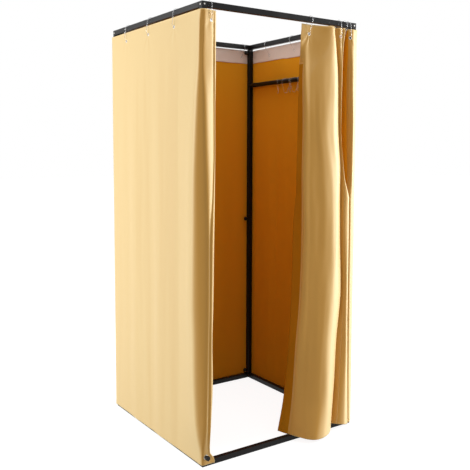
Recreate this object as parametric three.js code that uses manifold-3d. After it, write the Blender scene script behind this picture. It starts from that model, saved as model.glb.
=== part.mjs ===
// A portable fitting room: a knock-down frame of square tubes with curtains hung round it.
// Clear pear-shaped rings carry the curtains, a garment bar runs inside, and hand knobs lock the posts.
// Lengths are in millimetres, +Z is up and the doorway faces -Y.

import * as THREE from 'three';
import { mergeVertices } from 'three/addons/utils/BufferGeometryUtils.js';
import Module from 'manifold-3d';

const wasm = await Module();
wasm.setup();

// Driving dimensions
const frameWidth = 880;
const frameDepth = 880;
const frameHeight = 2000;
const postSplitHeight = 1000;
const tubeSide = 25;
const tubeWall = 1.2;
const clothThickness = 1.5;
const clothOffset = 4;
const clothTopGap = 9;
const wallHemHeight = 10;
const barBelowRail = 209;

// Clearances
const seatGap = 0.3;
const ringSeatGap = 0.4;
const cutOverrun = 2;

// Frame pieces
const tubeChamfer = 1.5;
const spigotLength = 35;
const joinerLength = 120;
const barRadius = 12.5;
const barPlateThickness = 3;
const barScrewRadius = 2.5;

// Hand knobs
const knobRadius = 11;
const knobLobeDepth = 1.4;
const knobLength = 14;
const knobNeckRadius = 7.5;
const knobNeckLength = 7;
const knobCollarRadius = 5;
const knobCollarLength = 1.5;
const knobStudRadius = 3;
const knobDistanceFromEnd = 20;
const knobDistanceFromSplit = 25;
const curtainKnobInset = 15;

// Curtain rings and eyelets
const ringWireDiameter = 3;
const ringSlack = 3.4;
const ringFootRadius = 8;
const ringReach = 48;
const ringSplit = 0.8;
const eyeletBore = 5;
const eyeletFlangeRadius = 8.5;
const eyeletFlangeThickness = 0.8;
const grommetBore = 6;
const grommetFlangeRadius = 13;

// Folds of the walls and of the doorway curtain
const wallFoldDepth = 8;
const barSwell = 4;
const cornerRadius = 6;
const wrapReach = 76;
const wrapRing = 44;
const wrapFlat = 10;
const doorFoldDepth = 100;
const doorHemHeight = 15;
const doorHemOverRail = 28;

// Sizes that follow from the driving dimensions
const spigotSide = tubeSide - 2 * (tubeWall + seatGap);
const clothTop = frameHeight - tubeSide - clothTopGap;
const barHeight = frameHeight - tubeSide - barBelowRail;
const ringTopRadius = (tubeSide / 2) * Math.SQRT2 + ringSlack;
const ringWireRadius = ringWireDiameter / 2;
const halfWidth = frameWidth / 2;
const halfDepth = frameDepth / 2;
const postX = halfWidth - tubeSide / 2;
const postY = halfDepth - tubeSide / 2;
const clothReach = tubeSide / 2 + clothOffset;

// Counts
const ringArcSteps = 9;
const ringFootSteps = 5;
const ringSides = 5;
const eyeletSides = 8;
const holeSides = 10;
const knobLobes = 6;
const knobPointsPerLobe = 3;
const wallColumns = 20;
const barSides = 20;

// Materials
function finish(colour, roughness, metalness, more = {}) {
  return new THREE.MeshStandardMaterial({ color: colour, roughness, metalness, ...more });
}
const blackSteel = () => finish(0x1c1a1b, 0.45, 0.3);
const blackPlastic = () => finish(0x0e0d0d, 0.55, 0);
const goldSatin = () => finish(0xe2bd78, 0.42, 0, { side: THREE.DoubleSide });
const clearPlastic = () => finish(0xf2f4f4, 0.1, 0, { transparent: true, opacity: 0.35 });

// Solids that are joined and cut
function toSolid(geometry) {
  const bare = geometry.clone();
  bare.deleteAttribute('normal');
  bare.deleteAttribute('uv');
  const merged = mergeVertices(bare);
  return new wasm.Manifold(new wasm.Mesh({
    numProp: 3,
    vertProperties: Float32Array.from(merged.getAttribute('position').array),
    triVerts: Uint32Array.from(merged.getIndex().array),
  }));
}

function toGeometry(solid) {
  const mesh = solid.getMesh();
  const geometry = new THREE.BufferGeometry();
  geometry.setAttribute('position', new THREE.BufferAttribute(mesh.vertProperties, 3));
  geometry.setIndex(new THREE.BufferAttribute(mesh.triVerts, 1));
  return geometry;
}

function joined(geometries) {
  return toGeometry(geometries.map(toSolid).reduce((sum, next) => sum.add(next)));
}

function cut(geometry, tools) {
  return toGeometry(tools.map(toSolid).reduce((rest, tool) => rest.subtract(tool), toSolid(geometry)));
}

// Basic shapes
function block(sizeX, sizeY, sizeZ, x, y, z) {
  return new THREE.BoxGeometry(sizeX, sizeY, sizeZ).translate(x, y, z);
}

function chamferedSquare(side, chamfer) {
  const half = side / 2;
  const flat = half - chamfer;
  const shape = new THREE.Shape();
  shape.moveTo(-flat, -half);
  shape.lineTo(flat, -half);
  shape.lineTo(half, -flat);
  shape.lineTo(half, flat);
  shape.lineTo(flat, half);
  shape.lineTo(-flat, half);
  shape.lineTo(-half, flat);
  shape.lineTo(-half, -flat);
  shape.closePath();
  return shape;
}

function squarePath(side) {
  const half = side / 2;
  const path = new THREE.Path();
  path.moveTo(-half, -half);
  path.lineTo(-half, half);
  path.lineTo(half, half);
  path.lineTo(half, -half);
  path.closePath();
  return path;
}

// A square tube that runs up from its lower end at the origin
function squareTube(side, chamfer, length) {
  const shape = chamferedSquare(side, chamfer);
  shape.holes.push(squarePath(side - 2 * tubeWall));
  return new THREE.ExtrudeGeometry(shape, { depth: length, bevelEnabled: false });
}

// A round cutter along +Z whose flats, not its edges, lie at the radius
function roundCutter(radius, length, sides) {
  const circumscribed = radius / Math.cos(Math.PI / sides);
  return new THREE.CylinderGeometry(circumscribed, circumscribed, length, sides).rotateX(Math.PI / 2);
}

function turned(profile, sides) {
  const points = profile.map(([radius, height]) => new THREE.Vector2(radius, height));
  return new THREE.LatheGeometry(points, sides).rotateX(Math.PI / 2);
}

// The four sides of the frame, each with a start corner, a direction along it and its outward direction
const sides = {
  front: { start: [-halfWidth, -halfDepth], along: [1, 0], out: [0, -1], run: frameWidth },
  right: { start: [halfWidth, -halfDepth], along: [0, 1], out: [1, 0], run: frameDepth },
  back: { start: [halfWidth, halfDepth], along: [-1, 0], out: [0, 1], run: frameWidth },
  left: { start: [-halfWidth, -halfDepth], along: [0, 1], out: [-1, 0], run: frameDepth },
};

// The plan point at a distance along a side and a distance out from the cloth's own plane
function onSide(side, distance, out) {
  const reach = clothOffset + out;
  return new THREE.Vector2(
    side.start[0] + side.along[0] * distance + side.out[0] * reach,
    side.start[1] + side.along[1] * distance + side.out[1] * reach,
  );
}

// Turns a shape made along +Z to point out of a side
function facingOut(geometry, side) {
  const heading = Math.atan2(side.out[1], side.out[0]);
  return geometry.rotateY(Math.PI / 2).rotateZ(heading);
}

// Scene
const room = new THREE.Group();

function addPiece(name, geometry, material) {
  geometry.deleteAttribute('uv');
  geometry.computeVertexNormals();
  const mesh = new THREE.Mesh(geometry, material);
  mesh.name = name;
  room.add(mesh);
  return mesh;
}

// Corner connectors: a cube with a spigot into each of its three tubes
const corners = [
  { name: 'front_left', x: -1, y: -1, knob: sides.back },
  { name: 'front_right', x: 1, y: -1, knob: sides.back },
  { name: 'back_right', x: 1, y: 1, knob: sides.left },
  { name: 'back_left', x: -1, y: 1, knob: sides.right },
];
const levels = [
  { name: 'bottom', up: 1, height: tubeSide / 2 },
  { name: 'top', up: -1, height: frameHeight - tubeSide / 2 },
];

function cornerConnector(corner, level) {
  const x = corner.x * postX;
  const y = corner.y * postY;
  const z = level.height;
  const reach = (tubeSide + spigotLength) / 2;
  const length = spigotLength + tubeSide / 2;
  const inset = reach - tubeSide / 4;
  return joined([
    block(tubeSide, tubeSide, tubeSide, x, y, z),
    block(length, spigotSide, spigotSide, x - corner.x * inset, y, z),
    block(spigotSide, length, spigotSide, x, y - corner.y * inset, z),
    block(spigotSide, spigotSide, length, x, y, z + level.up * inset),
  ]);
}

function addCorners() {
  for (const level of levels) {
    for (const corner of corners) {
      addPiece(`corner_${corner.name}_${level.name}`, cornerConnector(corner, level), blackPlastic());
    }
  }
}

// Posts in two halves. A joiner fixed in the upper half slides into the lower one.
function postHalfRanges() {
  return {
    lower: [tubeSide + seatGap, postSplitHeight - seatGap / 2],
    upper: [postSplitHeight + seatGap / 2, frameHeight - tubeSide - seatGap],
  };
}

const curtainKnobCorner = 'front_left';

function knobPlaces(corner) {
  const heights = {
    bottom: tubeSide + knobDistanceFromEnd,
    middle: postSplitHeight - knobDistanceFromSplit,
    top: frameHeight - tubeSide - knobDistanceFromEnd,
  };
  return Object.entries(heights).map(([name, z]) => {
    const holdsCurtain = corner.name === curtainKnobCorner && name === 'bottom';
    const side = holdsCurtain ? sides.front : corner.knob;
    const x = holdsCurtain ? -halfWidth + curtainKnobInset : corner.x * postX;
    const y = corner.y * postY;
    const faceX = x + side.out[0] * (tubeSide / 2);
    const faceY = y + side.out[1] * (tubeSide / 2);
    const half = name === 'top' ? 'upper' : 'lower';
    return { name: `${corner.name}_${name}`, half, side, faceX, faceY, z, holdsCurtain };
  });
}

function knobHole(place) {
  const cutter = roundCutter(knobStudRadius + seatGap, 2 * (tubeWall + cutOverrun), holeSides);
  return facingOut(cutter, place.side).translate(place.faceX, place.faceY, place.z);
}

function joinerInPost(x, y) {
  const sleeve = squareTube(spigotSide, tubeChamfer, joinerLength);
  const fixedSide = tubeSide - tubeWall;
  const ring = squareTube(fixedSide, tubeChamfer, joinerLength / 2 - seatGap);
  return [
    sleeve.translate(x, y, postSplitHeight - joinerLength / 2),
    ring.translate(x, y, postSplitHeight + seatGap),
  ];
}

function addPosts() {
  const ranges = postHalfRanges();
  for (const corner of corners) {
    const x = corner.x * postX;
    const y = corner.y * postY;
    for (const [half, [low, high]] of Object.entries(ranges)) {
      const tube = squareTube(tubeSide, tubeChamfer, high - low).translate(x, y, low);
      const post = half === 'upper' ? joined([tube, ...joinerInPost(x, y)]) : tube;
      const holes = knobPlaces(corner).filter((place) => place.half === half).map(knobHole);
      addPiece(`post_${corner.name}_${half}`, cut(post, holes), blackSteel());
    }
  }
}

// How far the cloth and its grommet stand out from the frame where a knob passes through them
const clothStandOut = clothOffset + clothThickness / 2 + seatGap + eyeletFlangeThickness;

function lobedOutline() {
  const shape = new THREE.Shape();
  const count = knobLobes * knobPointsPerLobe;
  for (let i = 0; i < count; i += 1) {
    const angle = (2 * Math.PI * i) / count;
    const radius = knobRadius - (i % knobPointsPerLobe === 0 ? knobLobeDepth : 0);
    const x = radius * Math.cos(angle);
    const y = radius * Math.sin(angle);
    if (i === 0) shape.moveTo(x, y);
    else shape.lineTo(x, y);
  }
  shape.closePath();
  return shape;
}

function knob(collarLength) {
  const neckStart = seatGap + collarLength;
  const bodyStart = neckStart + knobNeckLength;
  const body = new THREE.ExtrudeGeometry(lobedOutline(), { depth: knobLength, bevelEnabled: false });
  const stem = turned([
    [0, -tubeWall],
    [knobStudRadius, -tubeWall],
    [knobStudRadius, seatGap],
    [knobCollarRadius, seatGap],
    [knobCollarRadius, neckStart],
    [knobNeckRadius, neckStart],
    [knobNeckRadius, bodyStart + knobLength / 2],
    [0, bodyStart + knobLength / 2],
  ], eyeletSides);
  return joined([body.translate(0, 0, bodyStart), stem]);
}

function addKnobs() {
  for (const corner of corners) {
    for (const place of knobPlaces(corner)) {
      const collar = place.holdsCurtain ? clothStandOut : knobCollarLength;
      const geometry = facingOut(knob(collar), place.side);
      addPiece(`knob_${place.name}`, geometry.translate(place.faceX, place.faceY, place.z), blackPlastic());
    }
  }
}

// Rails
function addRails() {
  for (const level of levels) {
    for (const [name, side] of Object.entries(sides)) {
      const length = side.run - 2 * (tubeSide + seatGap);
      const lying = squareTube(tubeSide, tubeChamfer, length).translate(0, 0, -length / 2);
      const heading = Math.atan2(side.along[1], side.along[0]);
      lying.rotateY(Math.PI / 2).rotateZ(heading);
      const x = side.out[0] * postX;
      const y = side.out[1] * postY;
      addPiece(`rail_${name}_${level.name}`, lying.translate(x, y, level.height), blackSteel());
    }
  }
}

// Garment bar between the two right posts, with a plate against each
function garmentBar() {
  const face = halfDepth - tubeSide;
  const plateY = face - seatGap - barPlateThickness / 2;
  const outline = new THREE.Shape().absarc(0, 0, barRadius, 0, 2 * Math.PI);
  outline.holes.push(new THREE.Path().absarc(0, 0, barRadius - tubeWall, 0, 2 * Math.PI, true));
  const options = { depth: 2 * plateY, bevelEnabled: false, curveSegments: barSides };
  const tube = new THREE.ExtrudeGeometry(outline, options).translate(0, 0, -plateY);
  const plates = [-1, 1].map((end) => {
    return block(tubeSide, barPlateThickness, tubeSide, postX, end * plateY, barHeight);
  });
  const bar = joined([tube.rotateX(Math.PI / 2).translate(postX, 0, barHeight), ...plates]);
  const screwHoles = roundCutter(barScrewRadius, frameDepth, holeSides).rotateX(Math.PI / 2);
  return cut(bar, [screwHoles.translate(postX, 0, barHeight)]);
}

// A clear pear-shaped ring: a wide arc over the rail, straight sides and a narrow foot.
// Its plane is local XZ, the wide arc's centre is the origin and the foot hangs down.
class PearPath extends THREE.Curve {
  constructor() {
    super();
    this.lean = Math.asin((ringTopRadius - ringFootRadius) / ringReach);
    const topSweep = Math.PI + 2 * this.lean;
    const footSweep = Math.PI - 2 * this.lean;
    const top = (ringTopRadius + ringWireRadius) / Math.cos(topSweep / ringArcSteps / 2);
    const foot = (ringFootRadius + ringWireRadius) / Math.cos(footSweep / ringFootSteps / 2);
    this.points = [];
    for (let i = 0; i <= ringArcSteps; i += 1) {
      const angle = -this.lean + (topSweep * i) / ringArcSteps;
      this.points.push(new THREE.Vector3(top * Math.cos(angle), 0, top * Math.sin(angle)));
    }
    for (let i = 0; i <= ringFootSteps; i += 1) {
      const angle = Math.PI + this.lean + (footSweep * i) / ringFootSteps;
      const x = foot * Math.cos(angle);
      const z = foot * Math.sin(angle) - ringReach;
      this.points.push(new THREE.Vector3(x, 0, z));
    }
    const first = this.points[0];
    const last = this.points[this.points.length - 1];
    const side = first.clone().sub(last);
    const share = (side.length() - ringSplit) / side.length();
    this.points.push(last.clone().add(side.multiplyScalar(share)));
  }

  getPoint(t) {
    const place = t * (this.points.length - 1);
    const index = Math.min(Math.floor(place), this.points.length - 2);
    return this.points[index].clone().lerp(this.points[index + 1], place - index);
  }

  getUtoTmapping(u) {
    return u;
  }
}

function pearRing() {
  const path = new PearPath();
  const section = new THREE.Shape();
  for (let i = 0; i < ringSides; i += 1) {
    const angle = (2 * Math.PI * i) / ringSides;
    const x = ringWireRadius * Math.cos(angle);
    const y = ringWireRadius * Math.sin(angle);
    if (i === 0) section.moveTo(x, y);
    else section.lineTo(x, y);
  }
  section.closePath();
  return new THREE.ExtrudeGeometry(section, { steps: path.points.length - 1, extrudePath: path });
}

// How far under the rail's top the wide arc's centre hangs, with the arc on the rail's chamfered corners
const railTopHalf = tubeSide / 2 - tubeChamfer;
const ringDrop = Math.sqrt((ringTopRadius - ringSeatGap) ** 2 - railTopHalf ** 2);

// A ring over a rail, tilted so that its foot reaches the cloth. Its place is a distance along the side.
function ringOnRail(side, distance, out) {
  const tilt = Math.asin((clothReach + out) / ringReach);
  const heading = Math.atan2(side.out[1], side.out[0]);
  const centre = onSide(side, distance, -clothReach);
  const ring = pearRing().rotateY(-tilt).rotateZ(heading);
  return ring.translate(centre.x, centre.y, frameHeight - ringDrop);
}

// The height of an eyelet's middle under a ring whose foot reaches out that far
function eyeletHeight(out) {
  const tilt = Math.asin((clothReach + out) / ringReach);
  const footBottom = frameHeight - ringDrop - ringReach * Math.cos(tilt) - ringFootRadius;
  return footBottom + ringSeatGap - eyeletBore;
}

// An eyelet, and the hole for it, at a place with a side, a distance along it, one out and a height
function eyelet(place) {
  const half = clothThickness / 2 + eyeletFlangeThickness;
  const ring = turned([
    [place.bore, -half],
    [place.flange, -half],
    [place.flange, half],
    [place.bore, half],
    [place.bore, -half],
  ], eyeletSides);
  return standingAt(ring, place);
}

function eyeletHole(place) {
  const radius = (place.bore + place.flange) / 2;
  return standingAt(roundCutter(radius, clothThickness + 2 * cutOverrun, holeSides), place);
}

function standingAt(geometry, place) {
  const plan = onSide(place.side, place.distance, place.out);
  return facingOut(geometry, place.side).translate(plan.x, plan.y, place.height);
}

function eyeletPlace(side, distance, out = 0) {
  const height = eyeletHeight(out);
  return { side, distance, out, height, bore: eyeletBore, flange: eyeletFlangeRadius };
}

// A sheet with its eyelets pressed in
function withEyelets(sheet, places) {
  return joined([cut(sheet, places.map(eyeletHole)), ...places.map(eyelet)]);
}

// A hanging sheet of even thickness. rows holds, from the top down, the points of the sheet's middle.
function hangingSheet(rows) {
  const columns = rows[0].length;
  const front = [];
  const back = [];
  for (const row of rows) {
    row.forEach((point, i) => {
      const before = row[Math.max(i - 1, 0)];
      const after = row[Math.min(i + 1, columns - 1)];
      const normal = new THREE.Vector3(after.y - before.y, before.x - after.x, 0).normalize();
      const half = normal.multiplyScalar(clothThickness / 2);
      front.push(point.clone().add(half));
      back.push(point.clone().sub(half));
    });
  }
  const positions = [...front, ...back].flatMap((point) => [point.x, point.y, point.z]);
  const faces = [];
  const quad = (a, b, c, d) => faces.push(a, b, c, a, c, d);
  const behind = front.length;
  const at = (row, column) => row * columns + column;
  const lastRow = rows.length - 1;
  const lastColumn = columns - 1;
  for (let row = 0; row < lastRow; row += 1) {
    for (let column = 0; column < lastColumn; column += 1) {
      const a = at(row, column);
      const b = at(row + 1, column);
      const c = at(row + 1, column + 1);
      const d = at(row, column + 1);
      quad(a, b, c, d);
      quad(behind + a, behind + d, behind + c, behind + b);
    }
    quad(at(row, 0), behind + at(row, 0), behind + at(row + 1, 0), at(row + 1, 0));
    const top = at(row, lastColumn);
    const low = at(row + 1, lastColumn);
    quad(top, low, behind + low, behind + top);
  }
  for (let column = 0; column < lastColumn; column += 1) {
    const top = at(0, column);
    quad(top, top + 1, behind + top + 1, behind + top);
    const low = at(lastRow, column);
    quad(low, behind + low, behind + low + 1, low + 1);
  }
  const geometry = new THREE.BufferGeometry();
  geometry.setAttribute('position', new THREE.Float32BufferAttribute(positions, 3));
  geometry.setIndex(signedVolume(positions, faces) < 0 ? faces.reverse() : faces);
  return geometry;
}

function signedVolume(positions, faces) {
  let volume = 0;
  const corner = (i) => new THREE.Vector3().fromArray(positions, 3 * faces[i]);
  for (let i = 0; i < faces.length; i += 3) {
    volume += corner(i).dot(corner(i + 1).cross(corner(i + 2)));
  }
  return volume;
}

// The heights of a sheet's rows, as shares of its drop, and those at which the tables of the wrap and of
// the doorway curtain are given. The header above the second row hangs flat.
const rowShares = [0, 0.045, 0.115, 0.24, 0.5, 0.78, 1];
const tableShares = [0, 0.045, 0.24, 0.5, 0.78, 1];

// A table's entry at a row's height, between the two entries above and below it
function atRow(table, rowShare) {
  const below = Math.max(1, tableShares.findIndex((share) => share >= rowShare));
  const above = below - 1;
  const part = (rowShare - tableShares[above]) / (tableShares[below] - tableShares[above]);
  const mix = (high, low) => high + (low - high) * part;
  if (!Array.isArray(table[above])) return mix(table[above], table[below]);
  return table[above].map((point, i) => point.map((value, j) => mix(value, table[below][i][j])));
}

// Rings along each wall, as shares of its run from the side's start corner
const wallRingShares = {
  left: [0.26, 0.54, 0.81],
  back: [0.076, 0.346, 0.616, 0.886],
  right: [0.285, 0.539, 0.792],
};

// Soft upright waves of a wall, which fade out towards its ends and its header
const waveShares = { long: 3.2, short: 7.1, shortWeight: 0.4, shift: 0.16 };
const waveDepthShares = [0, 0, 0.3, 0.7, 1, 0.9, 0.6];

// The right wall is pushed out a little beside the garment bar
const swellShares = { left: 0, back: 0, right: 1 };
const swellRowShares = [0, 0, 1, 0.7, 0.3, 0, 0];

function wallWave(share) {
  const long = Math.sin(2 * Math.PI * waveShares.long * share);
  const short = Math.sin(2 * Math.PI * (waveShares.short * share + waveShares.shift));
  const mixed = (long + waveShares.shortWeight * short) / (1 + waveShares.shortWeight);
  return ((1 + mixed) / 2) * Math.sin(Math.PI * share);
}

function wallRows(name, startDistance, endDistance) {
  const side = sides[name];
  return rowShares.map((rowShare, row) => {
    const swell = barSwell * swellShares[name] * swellRowShares[row];
    const z = clothTop - rowShare * (clothTop - wallHemHeight);
    const points = [];
    for (let i = 0; i <= wallColumns; i += 1) {
      const share = i / wallColumns;
      const distance = startDistance + share * (endDistance - startDistance);
      const wave = wallFoldDepth * waveDepthShares[row] * wallWave(share);
      const out = wave + swell * Math.sin(Math.PI * share);
      const plan = onSide(side, distance, out);
      points.push(new THREE.Vector3(plan.x, plan.y, z));
    }
    return points;
  });
}

// The left curtain's return round the front left corner: shares of wrapReach along the front, from its
// free edge to the corner, and of wallFoldDepth outwards
const wrapEdgeShares = [1, 0.995, 0.88, 0.84, 0.7, 0.79];
const innerWrapShare = 0.7;
const wrapPleatShares = [0.3, 0.3, 0.5, 0.6, 0.6, 0.1];

function wrapRow(rowShare) {
  const z = clothTop - rowShare * (clothTop - wallHemHeight);
  const edge = wrapReach * atRow(wrapEdgeShares, rowShare);
  const flatEnd = wrapRing + wrapFlat;
  const pleat = wallFoldDepth * atRow(wrapPleatShares, rowShare);
  const plan = [[edge, 0], [(edge + Math.min(edge, flatEnd)) / 2, pleat]];
  const inner = Math.min(flatEnd, edge * innerWrapShare);
  plan.push([inner, 0]);
  plan.push([wrapRing - wrapFlat, 0]);
  plan.push([cornerRadius - clothOffset, 0]);
  return plan.map(([distance, out]) => {
    const point = onSide(sides.front, distance, out);
    return new THREE.Vector3(point.x, point.y, z);
  });
}

// A sheet that turns a front corner: the points of its front part, then the corner, then a side wall
function cornerSheet(frontRows, cornerDistance, name) {
  const wall = wallRows(name, cornerRadius - clothOffset, sides[name].run + clothOffset);
  const inset = cornerRadius * (1 - Math.SQRT1_2);
  return hangingSheet(wall.map((points, row) => {
    const corner = onSide(sides.front, cornerDistance, -inset);
    return [...frontRows[row], new THREE.Vector3(corner.x, corner.y, points[0].z), ...points];
  }));
}

function wallEyelets(name) {
  const side = sides[name];
  return wallRingShares[name].map((share) => eyeletPlace(side, share * side.run));
}

// The knob at the foot of the front left post passes through a grommet in the wrap
function curtainGrommet() {
  const knobPlace = knobPlaces(corners[0]).find((place) => place.holdsCurtain);
  const distance = knobPlace.faceX + halfWidth;
  const sizes = { bore: grommetBore, flange: grommetFlangeRadius };
  return { side: sides.front, distance, out: 0, height: knobPlace.z, ...sizes };
}

function leftCurtain() {
  const inset = cornerRadius * (1 - Math.SQRT1_2);
  const sheet = cornerSheet(rowShares.map(wrapRow), inset - clothOffset, 'left');
  const places = [...wallEyelets('left'), eyeletPlace(sides.front, wrapRing), curtainGrommet()];
  return withEyelets(sheet, places);
}

function backCurtain() {
  const start = clothThickness + seatGap - clothOffset;
  return withEyelets(hangingSheet(wallRows('back', start, frameWidth - start)), wallEyelets('back'));
}

function rightCurtain() {
  const inset = cornerRadius * (1 - Math.SQRT1_2);
  const cornerDistance = frameWidth + clothOffset - inset;
  const sheet = cornerSheet(doorPanelRows(endPleatShares), cornerDistance, 'right');
  const { distance, out } = doorRingPlace(endPleatShares);
  return withEyelets(sheet, [...wallEyelets('right'), eyeletPlace(sides.front, distance, out)]);
}

// The doorway curtain, drawn to the right: three panels that slide, each on its own ring, and the end
// pleat of the right curtain. Their rows follow rowShares from the top down. Each point is a share of
// the front's run from its left corner, and a share of doorFoldDepth outwards.
const leadPanelShares = [
  [[0.624, -0.165], [0.677, -0.165], [0.712, -0.165], [0.745, -0.1], [0.786, 0.04], [0.819, 0.1],
    [0.836, 0.06], [0.848, -0.06], [0.855, -0.18]],
  [[0.622, -0.165], [0.677, -0.165], [0.712, -0.165], [0.745, -0.1], [0.787, 0.05], [0.82, 0.11],
    [0.838, 0.06], [0.849, -0.06], [0.855, -0.18]],
  [[0.602, -0.18], [0.65, -0.1], [0.69, -0.02], [0.735, 0.09], [0.797, 0.2], [0.839, 0.25],
    [0.856, 0.16], [0.863, 0], [0.866, -0.14]],
  [[0.591, -0.32], [0.64, -0.14], [0.685, 0.02], [0.735, 0.17], [0.804, 0.34], [0.85, 0.36],
    [0.865, 0.24], [0.87, 0.06], [0.872, -0.1]],
  [[0.575, -0.52], [0.622, -0.2], [0.665, 0.12], [0.71, 0.36], [0.775, 0.56], [0.822, 0.52],
    [0.844, 0.36], [0.853, 0.14], [0.858, -0.05]],
  [[0.543, -0.8], [0.56, -0.4], [0.582, 0.02], [0.645, 0.56], [0.715, 0.88], [0.765, 0.82],
    [0.797, 0.56], [0.818, 0.24], [0.83, 0.04]],
];
const secondPanelShares = [
  [[0.8575, -0.17], [0.8625, -0.08], [0.869, 0], [0.88, 0], [0.891, 0], [0.898, 0.06],
    [0.904, 0.03], [0.906, -0.14], [0.9065, -0.5], [0.907, -0.84]],
  [[0.8575, -0.17], [0.8625, -0.08], [0.869, 0], [0.88, 0], [0.891, 0], [0.898, 0.06],
    [0.904, 0.03], [0.906, -0.14], [0.9065, -0.5], [0.907, -0.84]],
  [[0.869, -0.14], [0.874, -0.04], [0.881, 0.05], [0.89, 0.09], [0.898, 0.11], [0.9035, 0.11],
    [0.907, 0.05], [0.908, -0.14], [0.908, -0.5], [0.908, -0.84]],
  [[0.875, -0.1], [0.88, 0.02], [0.885, 0.1], [0.892, 0.15], [0.899, 0.17], [0.905, 0.15],
    [0.908, 0.07], [0.909, -0.14], [0.909, -0.5], [0.909, -0.84]],
  [[0.861, -0.05], [0.866, 0.08], [0.873, 0.2], [0.881, 0.28], [0.89, 0.32], [0.898, 0.29],
    [0.9035, 0.18], [0.906, -0.08], [0.907, -0.45], [0.907, -0.78]],
  [[0.8335, 0.03], [0.841, 0.12], [0.852, 0.24], [0.865, 0.36], [0.878, 0.42], [0.89, 0.4],
    [0.898, 0.26], [0.902, 0.02], [0.9045, -0.3], [0.9055, -0.62]],
];
const thirdPanelShares = [
  [[0.9115, -0.84], [0.9115, -0.5], [0.912, -0.17], [0.9125, -0.1], [0.923, -0.1], [0.9335, -0.1],
    [0.934, -0.17], [0.9345, -0.5], [0.9345, -0.84]],
  [[0.9115, -0.84], [0.9115, -0.5], [0.912, -0.17], [0.9125, -0.1], [0.923, -0.1], [0.9335, -0.1],
    [0.934, -0.17], [0.9345, -0.5], [0.9345, -0.84]],
  [[0.9125, -0.84], [0.9125, -0.5], [0.913, -0.16], [0.916, -0.06], [0.924, -0.03], [0.932, -0.06],
    [0.9345, -0.16], [0.935, -0.5], [0.935, -0.84]],
  [[0.9135, -0.84], [0.9135, -0.5], [0.914, -0.16], [0.917, -0.02], [0.9245, 0.02], [0.932, -0.02],
    [0.9345, -0.16], [0.935, -0.5], [0.935, -0.84]],
  [[0.9115, -0.78], [0.9115, -0.46], [0.912, -0.1], [0.915, 0.1], [0.9205, 0.16], [0.926, 0.1],
    [0.929, -0.1], [0.9295, -0.46], [0.9295, -0.78]],
  [[0.91, -0.62], [0.909, -0.32], [0.909, 0], [0.9115, 0.24], [0.916, 0.32], [0.9205, 0.24],
    [0.923, 0], [0.9235, -0.32], [0.924, -0.62]],
];
const endPleatShares = [
  [[0.9385, -0.84], [0.938, -0.5], [0.938, -0.14], [0.94, 0], [0.95, 0], [0.96, 0],
    [0.9705, 0.05], [0.982, 0.07], [0.991, 0.04], [0.9977, 0]],
  [[0.9385, -0.84], [0.938, -0.5], [0.938, -0.14], [0.94, 0], [0.95, 0], [0.96, 0],
    [0.9705, 0.05], [0.982, 0.07], [0.991, 0.04], [0.9977, 0]],
  [[0.939, -0.84], [0.9385, -0.5], [0.9385, -0.14], [0.941, 0.02], [0.948, 0.09], [0.958, 0.13],
    [0.969, 0.14], [0.982, 0.11], [0.991, 0.05], [0.9977, 0]],
  [[0.94, -0.84], [0.939, -0.5], [0.939, -0.14], [0.941, 0.05], [0.948, 0.14], [0.958, 0.19],
    [0.969, 0.2], [0.982, 0.15], [0.991, 0.07], [0.9977, 0]],
  [[0.934, -0.78], [0.9335, -0.46], [0.9335, -0.08], [0.935, 0.14], [0.941, 0.28], [0.952, 0.36],
    [0.966, 0.36], [0.98, 0.26], [0.99, 0.12], [0.9977, 0]],
  [[0.928, -0.62], [0.928, -0.3], [0.9275, 0.02], [0.928, 0.26], [0.933, 0.42], [0.9455, 0.52],
    [0.961, 0.5], [0.977, 0.36], [0.989, 0.16], [0.9977, 0]],
];
const doorPanels = { lead: leadPanelShares, second: secondPanelShares, third: thirdPanelShares };

// The column that hangs on the ring is the one in the middle of the flat stretch of the top row
const ringColumns = new Map([
  [leadPanelShares, 1], [secondPanelShares, 3], [thirdPanelShares, 4], [endPleatShares, 4],
]);

// The hem hangs low outside the bottom rail and rises where the cloth passes over it
const hemRiseShares = { start: 0.2, end: -0.02 };

function doorHem(outShare) {
  const span = hemRiseShares.start - hemRiseShares.end;
  const share = THREE.MathUtils.clamp((hemRiseShares.start - outShare) / span, 0, 1);
  return THREE.MathUtils.lerp(doorHemHeight, doorHemOverRail, THREE.MathUtils.smoothstep(share, 0, 1));
}

function doorPanelRows(shares) {
  const hemRow = shares[shares.length - 1];
  return rowShares.map((rowShare) => atRow(shares, rowShare).map(([alongShare, outShare], column) => {
    const plan = onSide(sides.front, alongShare * frameWidth, outShare * doorFoldDepth);
    const hem = doorHem(hemRow[column][1]);
    return new THREE.Vector3(plan.x, plan.y, clothTop - rowShare * (clothTop - hem));
  }));
}

function doorRingPlace(shares) {
  const [alongShare, outShare] = shares[0][ringColumns.get(shares)];
  return { distance: alongShare * frameWidth, out: outShare * doorFoldDepth };
}

function addCurtains() {
  addPiece('curtain_left', leftCurtain(), goldSatin());
  addPiece('curtain_back', backCurtain(), goldSatin());
  addPiece('curtain_right', rightCurtain(), goldSatin());
  for (const [name, shares] of Object.entries(doorPanels)) {
    const { distance, out } = doorRingPlace(shares);
    const sheet = hangingSheet(doorPanelRows(shares));
    const panel = withEyelets(sheet, [eyeletPlace(sides.front, distance, out)]);
    addPiece(`door_curtain_${name}`, panel, goldSatin());
    addPiece(`door_ring_${name}`, ringOnRail(sides.front, distance, out), clearPlastic());
  }
}

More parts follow.
